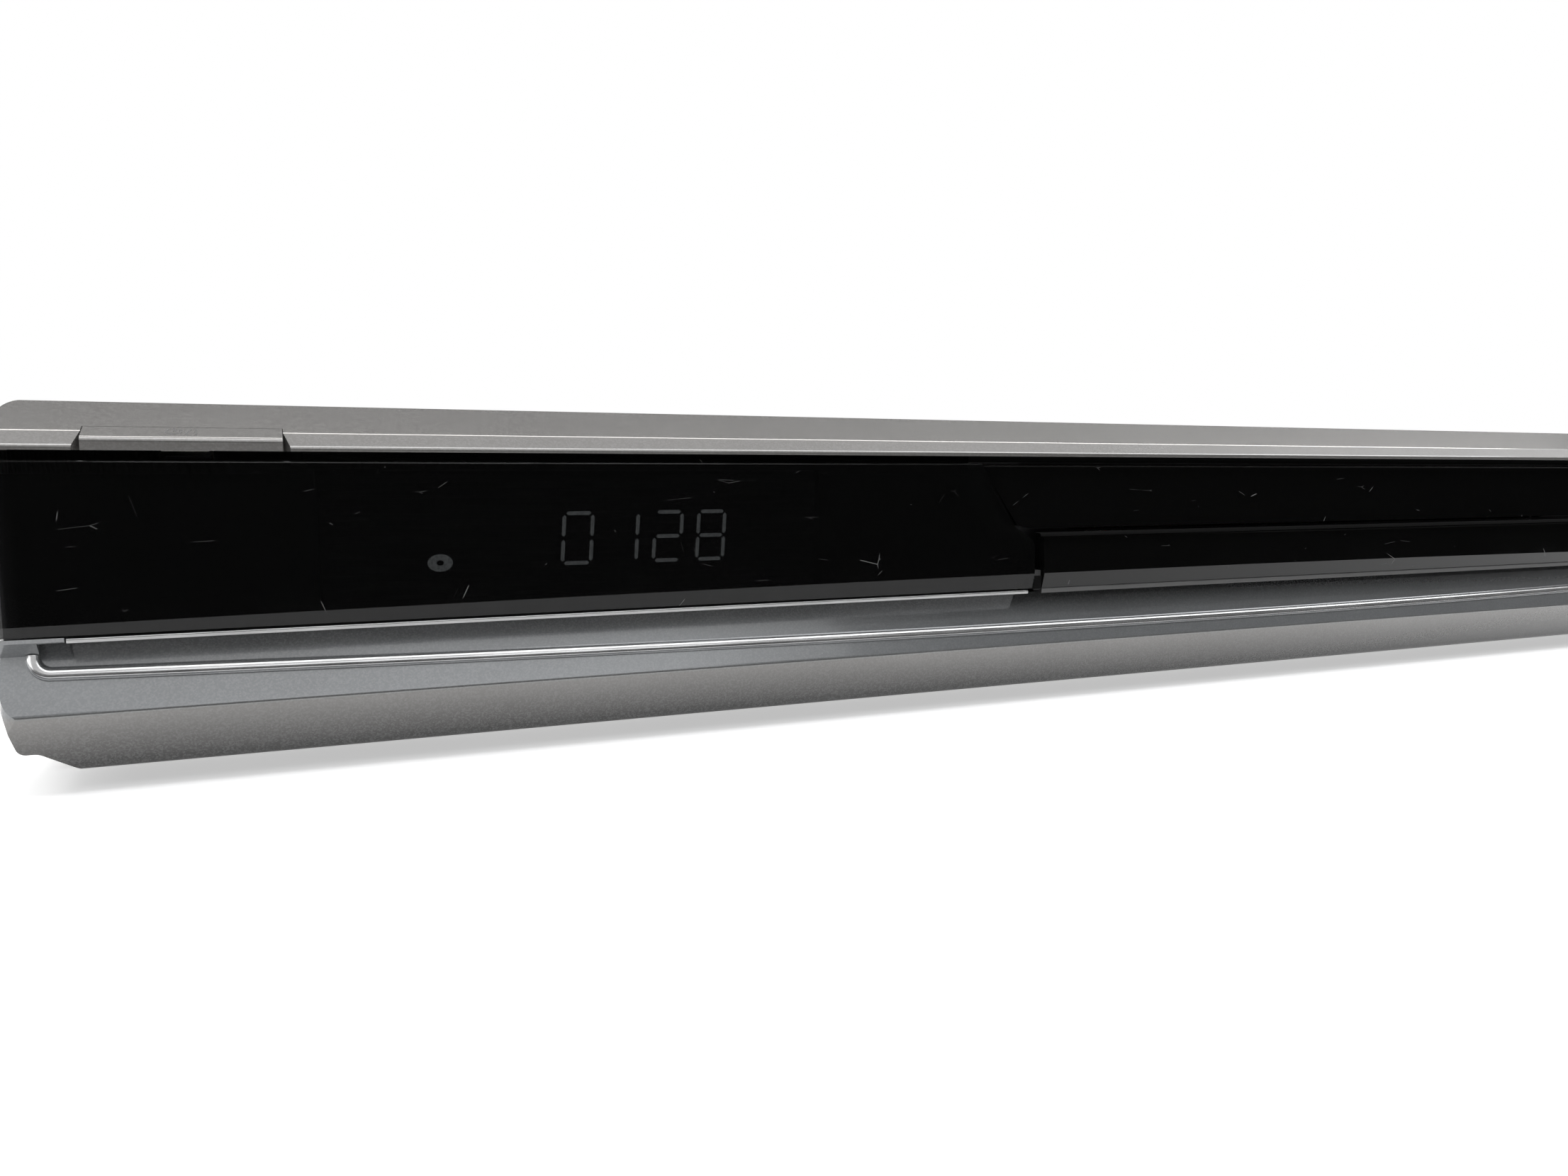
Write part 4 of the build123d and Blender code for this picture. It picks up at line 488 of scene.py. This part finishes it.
def painted_shade_black():
    """Dead black film laid into gaps and over a reflection as painted shade."""
    material, tree, shader = new_material("painted_shade_black")
    tone = noise(tree, 1.0 * MM, detail=3.0)
    link(tree, blend(tree, tone, grey(0.004), grey(0.009)), shader, "Base Color")
    link(tree, mid(tree, tone, 0.85, 0.95), shader, "Roughness")
    set_plain(shader, Specular_IOR_Level=0.05)
    return material


finishes = {
    "silver_moulding": silver_paint(),
    "silver_trim": silver_trim(),
    # A darker, rougher copy of the trim: painted shade for the strip under the flap.
    "shaded_trim": silver_trim("shaded_trim", 0.10, 0.4),
    # A lighter, smoother copy of the trim: a painted highlight along the bead.
    "bead_highlight_silver": silver_trim("bead_highlight_silver", 0.45, 0.16),
    "smoked_window": gloss_black("smoked_window", 0.8),
    "black_gloss": gloss_black("black_gloss"),
    "black_plastic": moulded_black(),
    "cover_paint": cover_paint(),
    "plated_steel": plated_steel(),
    "motor_can": motor_can(),
    "white_nylon": white_nylon(),
    "soft_rubber": soft_rubber(),
    "display_glass": display_glass(),
    "lens_glass": lens_glass(),
    "circuit_board": circuit_board(),
    "chip_black": chip_black(),
    "can_sleeve": can_sleeve(),
    "heat_sink_metal": heat_sink_metal(),
    "jack_metal": jack_metal(),
    "jack_core": jack_core(),
    "gilt": gilt(),
    "screw_steel": plated_steel("screw_steel", 0.42, (6, 6, 6)),
}


def dress_nodes():
    """Each CAD node gets the finish of its slot; the strip under the flap gets a darker, rougher copy
    of the trim as painted shade.
    """
    own_finish = {"flap_trim": "shaded_trim"}
    for row in frame["record"]["subparts"]:
        part = frame["nodes"][row["node"]]
        for holder in part.material_slots:
            holder.material = finishes[own_finish.get(row["node"], row["material_slot"])]


dress_nodes()

# New pieces


def piece(name, mesh, material, body):
    """A new piece on a body."""
    made = bpy.data.objects.new(name, mesh)
    bpy.context.scene.collection.objects.link(made)
    mesh.materials.append(material)
    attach(made, body)
    return made


def plates(name, outlines, thick, direction):
    """A mesh of thin plates: each outline is a list of 3D points, drawn out along a direction."""
    made = bmesh.new()
    for outline in outlines:
        near = [made.verts.new(point) for point in outline]
        far = [made.verts.new(Vector(point) + Vector(direction) * thick) for point in outline]
        count = len(outline)
        made.faces.new(near)
        made.faces.new(list(reversed(far)))
        for i in range(count):
            made.faces.new((near[i], far[i], far[(i + 1) % count], near[(i + 1) % count]))
    bmesh.ops.recalc_face_normals(made, faces=made.faces)
    mesh = bpy.data.meshes.new(name)
    made.to_mesh(mesh)
    made.free()
    return mesh


tube_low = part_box("display_tube")[0]
digit_left = -137.0 * MM
digit_pitch = 7.85 * MM
digit_width = 5.4 * MM
digit_low = 29.5 * MM
digit_high = 38.4 * MM
digit_stroke = 0.62 * MM
digit_cut = 0.45 * digit_stroke
digit_lean = math.tan(math.radians(3.5))
digit_face = tube_low.y - 0.06 * MM
print_thick = 0.05 * MM
on_axis = 0.0001 * MM
same_spot = 0.0005 * MM
segments_on = {
    "0": "abcdef", "1": "bc", "2": "abged", "3": "abgcd", "4": "fgbc",
    "5": "afgcd", "6": "afgedc", "7": "abc", "8": "abcdefg", "9": "abcdfg",
}


def bar(x0, z0, x1, z1, cut):
    """A straight segment with pointed ends, as points (x, z)."""
    half = digit_stroke / 2
    along = Vector((x1 - x0, z1 - z0)).normalized()
    side = Vector((-along.y, along.x)) * half
    start, end = Vector((x0, z0)) + along * cut, Vector((x1, z1)) - along * cut
    tip = along * half
    return [start, start + tip + side, end - tip + side, end, end - tip - side, start + tip - side]


def digit_outlines(figure, left):
    """The segments of one figure on the display's face."""
    right, middle = left + digit_width, (digit_low + digit_high) / 2
    inset = digit_stroke / 2
    lines = {
        "a": (left + inset, digit_high - inset, right - inset, digit_high - inset),
        "b": (right - inset, middle, right - inset, digit_high - inset),
        "c": (right - inset, digit_low + inset, right - inset, middle),
        "d": (left + inset, digit_low + inset, right - inset, digit_low + inset),
        "e": (left + inset, digit_low + inset, left + inset, middle),
        "f": (left + inset, middle, left + inset, digit_high - inset),
        "g": (left + inset, middle, right - inset, middle),
    }
    made = []
    for key in segments_on[figure]:
        outline = bar(*lines[key], digit_cut)
        made.append([(x + (z - digit_low) * digit_lean, digit_face, z) for x, z in outline])
    return made


def ring_outlines(centre, outer, inner, turns):
    """A flat ring on the display's face, as quadrilaterals."""
    made = []
    for i in range(turns):
        a, b = (2 * math.pi * k / turns for k in (i, i + 1))
        corners = [(outer, a), (outer, b), (inner, b), (inner, a)]
        made.append([(centre[0] + r[0] * math.cos(t), digit_face, centre[1] + r[1] * math.sin(t))
                     for r, t in corners])
    return made


def lathe(profile, centre, axis, turns=32):
    """A closed turned form: the profile's points are (distance along the axis, radius)."""
    axis = Vector(axis).normalized()
    side = axis.orthogonal().normalized()
    other = axis.cross(side)
    made = bmesh.new()
    rings = []
    for along, radius in profile:
        ring = []
        for i in range(turns):
            turn = 2 * math.pi * i / turns
            out = side * math.cos(turn) + other * math.sin(turn)
            ring.append(made.verts.new(Vector(centre) + axis * along + out * radius))
        rings.append(ring)
    closed = profile[0] != profile[-1] and profile[0][1] > on_axis
    for first, second in zip(rings, rings[1:] + ([rings[0]] if closed else [])):
        for i in range(turns):
            j = (i + 1) % turns
            made.faces.new((first[i], first[j], second[j], second[i]))
    bmesh.ops.remove_doubles(made, verts=made.verts, dist=same_spot)
    bmesh.ops.recalc_face_normals(made, faces=made.faces)
    for face in made.faces:
        face.smooth = True
    return made


def mesh_of(name, parts, sharp=35):
    """One mesh from several bmeshes, its edges sharp from an angle in degrees on."""
    whole = bmesh.new()
    for part in parts:
        held = bpy.data.meshes.new("held")
        part.to_mesh(held)
        part.free()
        whole.from_mesh(held)
        bpy.data.meshes.remove(held)
    mesh = bpy.data.meshes.new(name)
    whole.to_mesh(mesh)
    whole.free()
    mesh.set_sharp_from_angle(angle=math.radians(sharp))
    return mesh


def make_display_marks():
    """Four figures and the disc sign on the display."""
    glow = display_glow()
    for number, figure in enumerate("0128"):
        outlines = digit_outlines(figure, digit_left + number * digit_pitch)
        mesh = plates(f"display_figure_{number}", outlines, print_thick, (0, 1, 0))
        piece(f"display_figure_{number}", mesh, glow, "chassis")
    centre, outer, inner = (-156.2 * MM, 30.5 * MM), (1.95 * MM, 1.4 * MM), (0.55 * MM, 0.42 * MM)
    disc = ring_outlines(centre, outer, inner, 48)
    piece("display_disc_sign", plates("display_disc_sign", disc, print_thick, (0, 1, 0)), glow,
          "chassis")


def power_sign(size, stroke):
    """The usual sign of a power key, its ring's centre at the origin: ring and bar, slash, bar."""
    outlines = []
    steps, gap = 24, math.radians(36)
    outer, inner = size / 2, size / 2 - stroke
    for i in range(steps):
        a, b = (math.pi / 2 + gap + (2 * math.pi - 2 * gap) * k / steps for k in (i, i + 1))
        outlines.append([(r * math.cos(t), r * math.sin(t))
                         for r, t in ((outer, a), (outer, b), (inner, b), (inner, a))])
    half, lean = stroke / 2, size * 0.16
    slash_x, bar_x = size * 0.85, size * 1.3
    for x, low, high, tilt in ((0.0, 0.0, size * 0.6, 0.0), (slash_x, -outer, outer, lean),
                               (bar_x, -outer, outer, 0.0)):
        outlines.append([(x - half - tilt, low), (x + half - tilt, low), (x + half + tilt, high),
                         (x - half + tilt, high)])
    return outlines


def make_power_print():
    """The power sign printed on the sloping top of the left button."""
    low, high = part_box("power_button")
    key_run, slope, proud = 4.2 * MM, 4.4 / 12.0, 0.02 * MM
    sign_x, sign_back, size, stroke = -192.5 * MM, 2.55 * MM, 2.2 * MM, 0.26 * MM
    lip_z = high.z - key_run * slope
    outlines = []
    for line in power_sign(size, stroke):
        outlines.append([(sign_x + u, low.y + sign_back + v,
                          lip_z + (sign_back + v) * slope + proud) for u, v in line])
    mesh = plates("power_sign", outlines, print_thick, (0, 0, -1))
    piece("power_sign", mesh, dark_print(), "power_key")


def make_bead():
    """Half-round silver bead along the rim of the recess, over the plain one of the moulding."""
    half_run, low, bow, corner = 211.2, 17.2, 2.4, 2.3
    front, foremost, back, top = -124.5, 11.9, 4.6, 19.6
    corner_steps, run_steps = 10, 60
    big = (half_run ** 2 + bow ** 2) / (2 * bow)

    def rim(x):
        return low - bow + big - math.sqrt(big ** 2 - x ** 2)

    turn_x = half_run - corner
    turn_z = rim(turn_x) + corner
    turns = [math.radians(180 + 90 * k / corner_steps) for k in range(corner_steps + 1)]
    side = [(-half_run, top)]
    side += [(-turn_x + corner * math.cos(t), turn_z + corner * math.sin(t)) for t in turns]
    xs = [-turn_x + 2 * turn_x * k / run_steps for k in range(1, run_steps)]
    run = [(x, rim(x)) for x in xs]
    path = side + run + [(-x, z) for x, z in reversed(side)]
    slope = math.hypot(back, top - foremost)
    outward = Vector((0, -(top - foremost) / slope, back / slope))
    points = [Vector((x, front + (z - foremost) / (top - foremost) * back, z)) for x, z in path]
    made = bmesh.new()
    steps, wide, tall, sunk = 12, 0.88, 0.5, 0.2
    rings = []
    for i, point in enumerate(points):
        ahead, behind = points[min(i + 1, len(points) - 1)], points[max(i - 1, 0)]
        along = (ahead - behind).normalized()
        across = outward.cross(along).normalized()
        angles = [math.pi * k / steps for k in range(steps + 1)]
        ring = [point + across * wide * math.cos(t) + outward * tall * math.sin(t) for t in angles]
        ring += [point - across * wide - outward * sunk, point + across * wide - outward * sunk]
        rings.append([made.verts.new(co * MM) for co in ring])
    count = len(rings[0])
    for first, second in zip(rings, rings[1:]):
        for k in range(count):
            made.faces.new((first[k], first[(k + 1) % count], second[(k + 1) % count], second[k]))
    made.faces.new(rings[0])
    made.faces.new(list(reversed(rings[-1])))
    bmesh.ops.recalc_face_normals(made, faces=made.faces)
    for face in made.faces:
        face.smooth = True
    mesh = mesh_of("recess_bead", [made])
    # Its lighter trim finish paints a highlight along the bead.
    piece("recess_bead", mesh, finishes["bead_highlight_silver"], "chassis")


def make_key_signs():
    """The usual signs for play and stop above the two round keys, on the panel behind the flap."""
    face_y, proud, above = -116.0 * MM, 0.03 * MM, 0.6 * MM
    white = pale_print()
    triangle = [(-0.8, -0.9), (0.9, 0.0), (-0.8, 0.9)]
    square = [(-0.75, -0.75), (0.75, -0.75), (0.75, 0.75), (-0.75, 0.75)]
    signs = (("play_sign", "play_button", triangle), ("stop_sign", "stop_button", square))
    for name, node, corners in signs:
        low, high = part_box(node)
        x, z = (low.x + high.x) / 2, high.z + above
        outline = [(x + u * MM, face_y - proud, z + v * MM) for u, v in corners]
        piece(name, plates(name, [outline], print_thick, (0, 1, 0)), white, "chassis")


def carved(solid, cutter):
    """One mesh with another cut out of it."""
    held = [bpy.data.objects.new("held", mesh) for mesh in (solid, cutter)]
    for one in held:
        bpy.context.scene.collection.objects.link(one)
    cut = held[0].modifiers.new("cut", "BOOLEAN")
    cut.object, cut.operation, cut.solver = held[1], "DIFFERENCE", "EXACT"
    seen = held[0].evaluated_get(bpy.context.evaluated_depsgraph_get())
    mesh = bpy.data.meshes.new_from_object(seen)
    for one in held:
        bpy.data.objects.remove(one)
    return mesh


def screw_mesh(head, rise, shank=1.5 * MM, length=5.0 * MM):
    """A pan-head screw with a cross recess and rolled thread: seat at the origin, head up."""
    low_edge, brow_edge = rise * 0.38, rise * 0.85
    pitch, crest, root = 0.8 * MM, shank * 0.99, shank * 0.78
    profile = [(-length, 0.0), (-length, shank * 0.55)]
    for number in range(int(length / pitch)):
        at = -length + (number + 0.5) * pitch
        profile += [(at, crest), (at + pitch / 2, root)]
    profile += [(0.0, root), (0.0, head * 0.96), (low_edge * 0.4, head), (low_edge, head * 0.985),
                (brow_edge, head * 0.72), (rise * 0.985, head * 0.3), (rise, 0.0)]
    solid = mesh_of("screw_solid", [lathe(profile, (0, 0, 0), (0, 0, 1), 36)])
    arm, half, deep = head * 0.5, head * 0.12, rise * 0.65
    corners = [(arm, -half), (arm, half), (half, half), (half, arm),
               (-half, arm), (-half, half), (-arm, half), (-arm, -half),
               (-half, -half), (-half, -arm), (half, -arm), (half, -half)]
    cross = plates("cross", [[(x, y, rise - deep) for x, y in corners]], 2 * rise, (0, 0, 1))
    return carved(solid, cross)


def make_screws():
    """The seven casing screws, each turned a little differently, in place of their plain solids."""
    side_x, side_z, back_y, back_z = 213.8 * MM, 12.0 * MM, 119.5 * MM, 49.0 * MM
    cover = screw_mesh(3.4 * MM, 1.2 * MM)
    rear = screw_mesh(2.8 * MM, 1.4 * MM)
    places = [(cover, (side * side_x, y * MM, side_z), (side, 0, 0))
              for side in (-1, 1) for y in (-84.5, 96.5)]
    places += [(rear, (x * MM, back_y, back_z), (0, 1, 0)) for x in (-195, 10, 195)]
    parts = []
    for number, (mesh, seat, outward) in enumerate(places):
        turn = Vector(outward).to_track_quat("Z", "X").to_matrix().to_4x4()
        spin = Matrix.Rotation(math.radians(17 + 53 * number), 4, "Z")
        part = bmesh.new()
        part.from_mesh(mesh)
        part.transform(Matrix.Translation(seat) @ turn @ spin)
        parts.append(part)
    mesh = mesh_of("casing_screws", parts, 30)
    made = piece("casing_screws", mesh, finishes["screw_steel"], "chassis")
    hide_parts("cover_screws")


def box_part(low, high, round_by):
    """A box with rounded edges, its corners in millimetres."""
    made = bmesh.new()
    bmesh.ops.create_cube(made, size=1.0)
    low, high = Vector(low) * MM, Vector(high) * MM
    for vert in made.verts:
        vert.co = [(a + b) / 2 + c * (b - a) for a, b, c in zip(low, high, vert.co)]
    bmesh.ops.bevel(made, geom=made.edges[:], offset=round_by * MM, segments=2, profile=0.5,
                    affect="EDGES")
    return made


def make_jacks():
    """The round jacks: nickel sleeves, insulating cores, coloured collars and the block behind."""
    low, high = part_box("av_jacks")
    pitch, above, deep = 14.0 * MM, 8.4 * MM, 11.0 * MM
    radius, inner, bore, chamfer = 4.15 * MM, 3.35 * MM, 1.65 * MM, 0.2 * MM
    core_face, core_front = -1.4 * MM, -1.2 * MM
    panel_y, panel_thick = 119.5 * MM, 1.25 * MM
    xs, back, z = [low.x + pitch * (number + 0.5) for number in range(5)], high.y, low.z + above
    sleeve = [(-deep, inner), (-deep, radius), (-0.35 * MM, radius), (0.0, radius - 0.3 * MM),
              (0.0, inner + 0.15 * MM), (-0.15 * MM, inner)]
    core = [(-deep, bore), (-deep, inner), (core_face, inner), (core_front, inner - chamfer),
            (core_front, bore + chamfer), (core_face, bore)]
    sleeves = [lathe(sleeve, (x, back, z), (0, 1, 0), 48) for x in xs]
    cores = [lathe(core, (x, back, z), (0, 1, 0), 40) for x in xs]
    block_high = (high.x / MM, (panel_y - panel_thick) / MM, high.z / MM)
    block = box_part([v / MM for v in low], block_high, 0.3)
    groups = (("jack_sleeves", sleeves, "jack_metal"), ("jack_cores", cores, "jack_core"),
              ("jack_block", [block], "black_plastic"))
    for name, parts, finish in groups:
        made = piece(name, mesh_of(name, parts), finishes[finish], "chassis")
        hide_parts("av_jacks")
    outline = [(0.0, 4.5), (0.0, 6.1), (0.55, 6.1), (0.85, 5.8), (0.85, 4.75), (0.6, 4.5)]
    collar = [(along * MM, out * MM) for along, out in outline]
    for colour, numbers in (("green", (0,)), ("blue", (1,)), ("red", (2, 4)), ("white", (3,))):
        name = f"jack_collar_{colour}"
        parts = [lathe(collar, (xs[n], panel_y, z), (0, 1, 0), 48) for n in numbers]
        piece(name, mesh_of(name, parts), collar_plastic(colour), "chassis")


def row(middle, count, pitch):
    """Evenly spaced places around a middle."""
    return [middle + (n - (count - 1) / 2) * pitch for n in range(count)]


def strip(x, half, near, far, z):
    """Outline of a flat contact that lies along y."""
    return [(x - half, near, z), (x + half, near, z), (x + half, far, z), (x - half, far, z)]


def make_contacts():
    """Gilt contacts in the network, video and front sockets."""
    gold = finishes["gilt"]
    low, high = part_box("lan_socket")
    middle, half = (low.x + high.x) / 2, 0.22 * MM
    mouth, top = high.y - 1.6 * MM, high.z - 2.7 * MM
    spring = [(0.0, 0.0), (0.0, -0.35), (-2.2, -0.5), (-9.0, -4.4), (-9.0, -4.0), (-2.0, 0.0)]
    springs = [[(x - half, mouth + v * MM, top + w * MM) for v, w in spring]
               for x in row(middle, 8, 1.02 * MM)]
    piece("lan_contacts", plates("lan_contacts", springs, 2 * half, (1, 0, 0)), gold, "chassis")
    low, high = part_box("hdmi_socket")
    middle, reach = (low.x + high.x) / 2, 4.5 * MM
    front, z = high.y - 4.9 * MM, high.z - 2.1 * MM
    strips = [strip(x, half, front, front - reach, z) for x in row(middle, 10, 1.0 * MM)]
    piece("video_contacts", plates("video_contacts", strips, 0.05 * MM, (0, 0, 1)), gold, "chassis")
    low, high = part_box("usb_socket")
    middle, half = (low.x + high.x) / 2, 0.5 * MM
    front, z = low.y + 4.8 * MM, high.z - 2.3 * MM
    strips = [strip(middle + shift * MM, half, front + (7.6 - deep) * MM, front + 7.8 * MM, z)
              for shift, deep in ((-3.5, 7.2), (-1.0, 6.4), (1.0, 6.4), (3.5, 7.2))]
    piece("usb_contacts", plates("usb_contacts", strips, 0.08 * MM, (0, 0, -1)), gold, "chassis")


def make_turntable_mat():
    """Rubber ring on the disc table."""
    low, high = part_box("turntable")
    hub_height = 2.0 * MM
    centre = ((low.x + high.x) / 2, (low.y + high.y) / 2, high.z - hub_height)
    outline = [(0.0, 8.6), (0.0, 13.6), (0.18, 13.5), (0.25, 13.2), (0.25, 9.0), (0.18, 8.7)]
    ring = lathe([(along * MM, out * MM) for along, out in outline], centre, (0, 0, 1), 64)
    mesh = mesh_of("turntable_mat", [ring])
    piece("turntable_mat", mesh, finishes["soft_rubber"], "disc_table")


def make_seals():
    """Painted shade: dead black film above the panels, a patch at the window's foot and a strip over
    the flap's top.
    """
    black = painted_shade_black()
    top_shade_strip = box_part((-176.0, -117.12, 46.75), (176.0, -117.0, 47.9), 0.03)
    patch = box_part((-45.6, -122.3, 22.3), (-43.75, -122.2, 24.9), 0.03)
    piece("painted_shade_sheets", mesh_of("painted_shade_sheets", [top_shade_strip, patch]), black, "chassis")
    low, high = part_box("flap")
    end = 0.3 * MM
    left, right = low.x + end, high.x - end
    section = [(2.0, 0.0), (2.0, 0.05), (0.25, 0.05), (-0.05, -0.3),
               (-0.05, -0.6), (0.0, -0.6), (0.0, -0.3), (0.3, 0.0)]
    outline = [(left, low.y + v * MM, high.z + w * MM) for v, w in section]
    # Dead black sheet over the flap's top: painted shade in place of its reflection.
    piece("flap_shade_sheet", plates("flap_shade_sheet", [outline], right - left, (1, 0, 0)), black, "flap_door")


make_display_marks()
make_power_print()
make_seals()
make_bead()
make_key_signs()
make_screws()
make_jacks()
make_contacts()
make_turntable_mat()

# Studio


def seen_rays(tree):
    """1 for rays from the camera, mirrored rays and rays through glass, 0 for the rest."""
    rays = add(tree, "ShaderNodeLightPath").outputs
    beyond = calc(tree, "MAXIMUM", rays["Is Glossy Ray"], rays["Is Transmission Ray"])
    return calc(tree, "MAXIMUM", rays["Is Camera Ray"], beyond)


def sheet_object(name, corners):
    """A flat four-sided stage piece."""
    mesh = bpy.data.meshes.new(name)
    mesh.from_pydata(corners, [], [(0, 1, 2, 3)])
    made = bpy.data.objects.new(name, mesh)
    bpy.context.scene.collection.objects.link(made)
    return made


def make_floor():
    """A pale floor that keeps the shadow and is white where nothing lies on it."""
    reach, near, far = 12.0, 0.5, 1.4
    corners = [(-reach, -reach, 0), (reach, -reach, 0), (reach, reach, 0), (-reach, reach, 0)]
    floor = sheet_object("floor", corners)
    material, tree, shader = new_material("floor")
    link(tree, blend(tree, noise(tree, 1.5), grey(0.80), grey(0.83)), shader, "Base Color")
    set_plain(shader, Roughness=0.9, Specular_IOR_Level=0.1)
    away = add(tree, "ShaderNodeVectorMath", {0: place(tree)}, operation="LENGTH").outputs["Value"]
    lift = times(tree, seen_rays(tree), ramp(tree, away, near, far, 0.48, 0.9))
    glow = add(tree, "ShaderNodeEmission", {"Color": grey(1.0), "Strength": lift})
    both = add(tree, "ShaderNodeAddShader")
    tree.links.new(shader.outputs[0], both.inputs[0])
    tree.links.new(glow.outputs[0], both.inputs[1])
    tree.links.new(both.outputs[0], tree.nodes["Material Output"].inputs["Surface"])
    floor.data.materials.append(material)


def make_world():
    """White where it is seen, mirrored or seen through; softer as a light."""
    world = bpy.data.worlds.new("studio")
    bpy.context.scene.world = world
    world.use_nodes = True
    tree = world.node_tree
    background = tree.nodes["Background"]
    background.inputs["Color"].default_value = grey(1.0)
    tree.links.new(ramp(tree, seen_rays(tree), 0.0, 1.0, 0.21, 1.0), background.inputs["Strength"])


def make_lamp(name, at, aim, size, power, colour=(1, 1, 1)):
    """A rectangular lamp turned towards a point, itself out of view."""
    data = bpy.data.lights.new(name, "AREA")
    data.shape = "RECTANGLE"
    data.size, data.size_y = size
    data.energy = power
    data.color = colour
    lamp = bpy.data.objects.new(name, data)
    bpy.context.scene.collection.objects.link(lamp)
    lamp.location = at
    lamp.visible_camera = False
    lamp.rotation_euler = (Vector(aim) - Vector(at)).to_track_quat("-Z", "Y").to_euler()


def make_card(name, left, right, away, low, high, level):
    """A flat upright card that only mirrors see: a dark or grey patch in the white surroundings."""
    corners = [(left, away, low), (right, away, low), (right, away, high), (left, away, high)]
    card = sheet_object(name, corners)
    material, tree, shader = new_material(name)
    cloud = noise(tree, 0.3)
    link(tree, blend(tree, cloud, grey(0.008), grey(0.012)), shader, "Base Color")
    link(tree, blend(tree, cloud, grey(level * 0.95), grey(level * 1.05)), shader, "Emission Color")
    set_plain(shader, Roughness=1.0, Specular_IOR_Level=0.0, Emission_Strength=1.0)
    card.data.materials.append(material)
    card.visible_camera = False
    card.visible_diffuse = False
    card.visible_shadow = False
    card.visible_transmission = False


def make_cards():
    """Dark and low in front for the gloss panels, greys above it and behind for the silver."""
    make_card("dark_card", -1.6, 2.6, -0.95, 0.02, 0.34, 0.0)
    make_card("low_card", -1.6, 6.0, -1.05, 0.36, 0.76, 0.2)
    make_card("rear_card", -1.5, 5.0, 1.2, 0.25, 1.33, 0.25)
    make_card("front_card", 0.7, 6.0, -1.1, 0.75, 2.0, 0.12)


def make_lamps():
    """Long soft lamps above and behind for the bright lines of the moulding, two small in front."""
    front_edge = (0.2, -0.122, 0.05)
    cool, warm = (0.97, 0.985, 1.0), (1.0, 0.975, 0.94)
    make_lamp("rear_lamp", (0.2, 0.348, 0.697), front_edge, (2.2, 0.22), 4.6, warm)
    make_lamp("top_lamp", (0.2, -0.302, 0.83), front_edge, (2.2, 0.36), 7.6, cool)
    make_lamp("side_lamp", (-0.9, -0.5, 0.7), (-0.05, -0.05, 0.03), (0.6, 0.6), 3.0)
    make_lamp("front_lamp", (-0.05, -0.80, 0.62), (-0.1, -0.122, 0.02), (0.55, 0.22), 0.55, cool)


def make_camera():
    """The photograph's place and angle: low, close to the left end, looking along the front."""
    image_width = 2212.0
    focal_pixels = 1608.6
    eye = Vector((-179.83, -303.75, 48.29)) * MM
    yaw, pitch, roll = (math.radians(a) for a in (24.066, -6.762, 0.437))
    forward = Vector((math.sin(yaw) * math.cos(pitch), math.cos(yaw) * math.cos(pitch),
                      math.sin(pitch)))
    level = Vector((math.cos(yaw), -math.sin(yaw), 0))
    upward = level.cross(forward)
    right = level * math.cos(roll) + upward * math.sin(roll)
    top = upward * math.cos(roll) - level * math.sin(roll)
    data = bpy.data.cameras.new("camera")
    data.sensor_width = 36.0
    data.lens = focal_pixels / image_width * data.sensor_width
    data.clip_start = 0.005
    camera = bpy.data.objects.new("camera", data)
    bpy.context.scene.collection.objects.link(camera)
    turn = Matrix((right, top, -forward)).transposed().to_4x4()
    camera.matrix_world = Matrix.Translation(eye) @ turn
    bpy.context.scene.camera = camera


bpy.context.scene.view_settings.view_transform = "Standard"
make_floor()
make_world()
make_lamps()
make_cards()
make_camera()
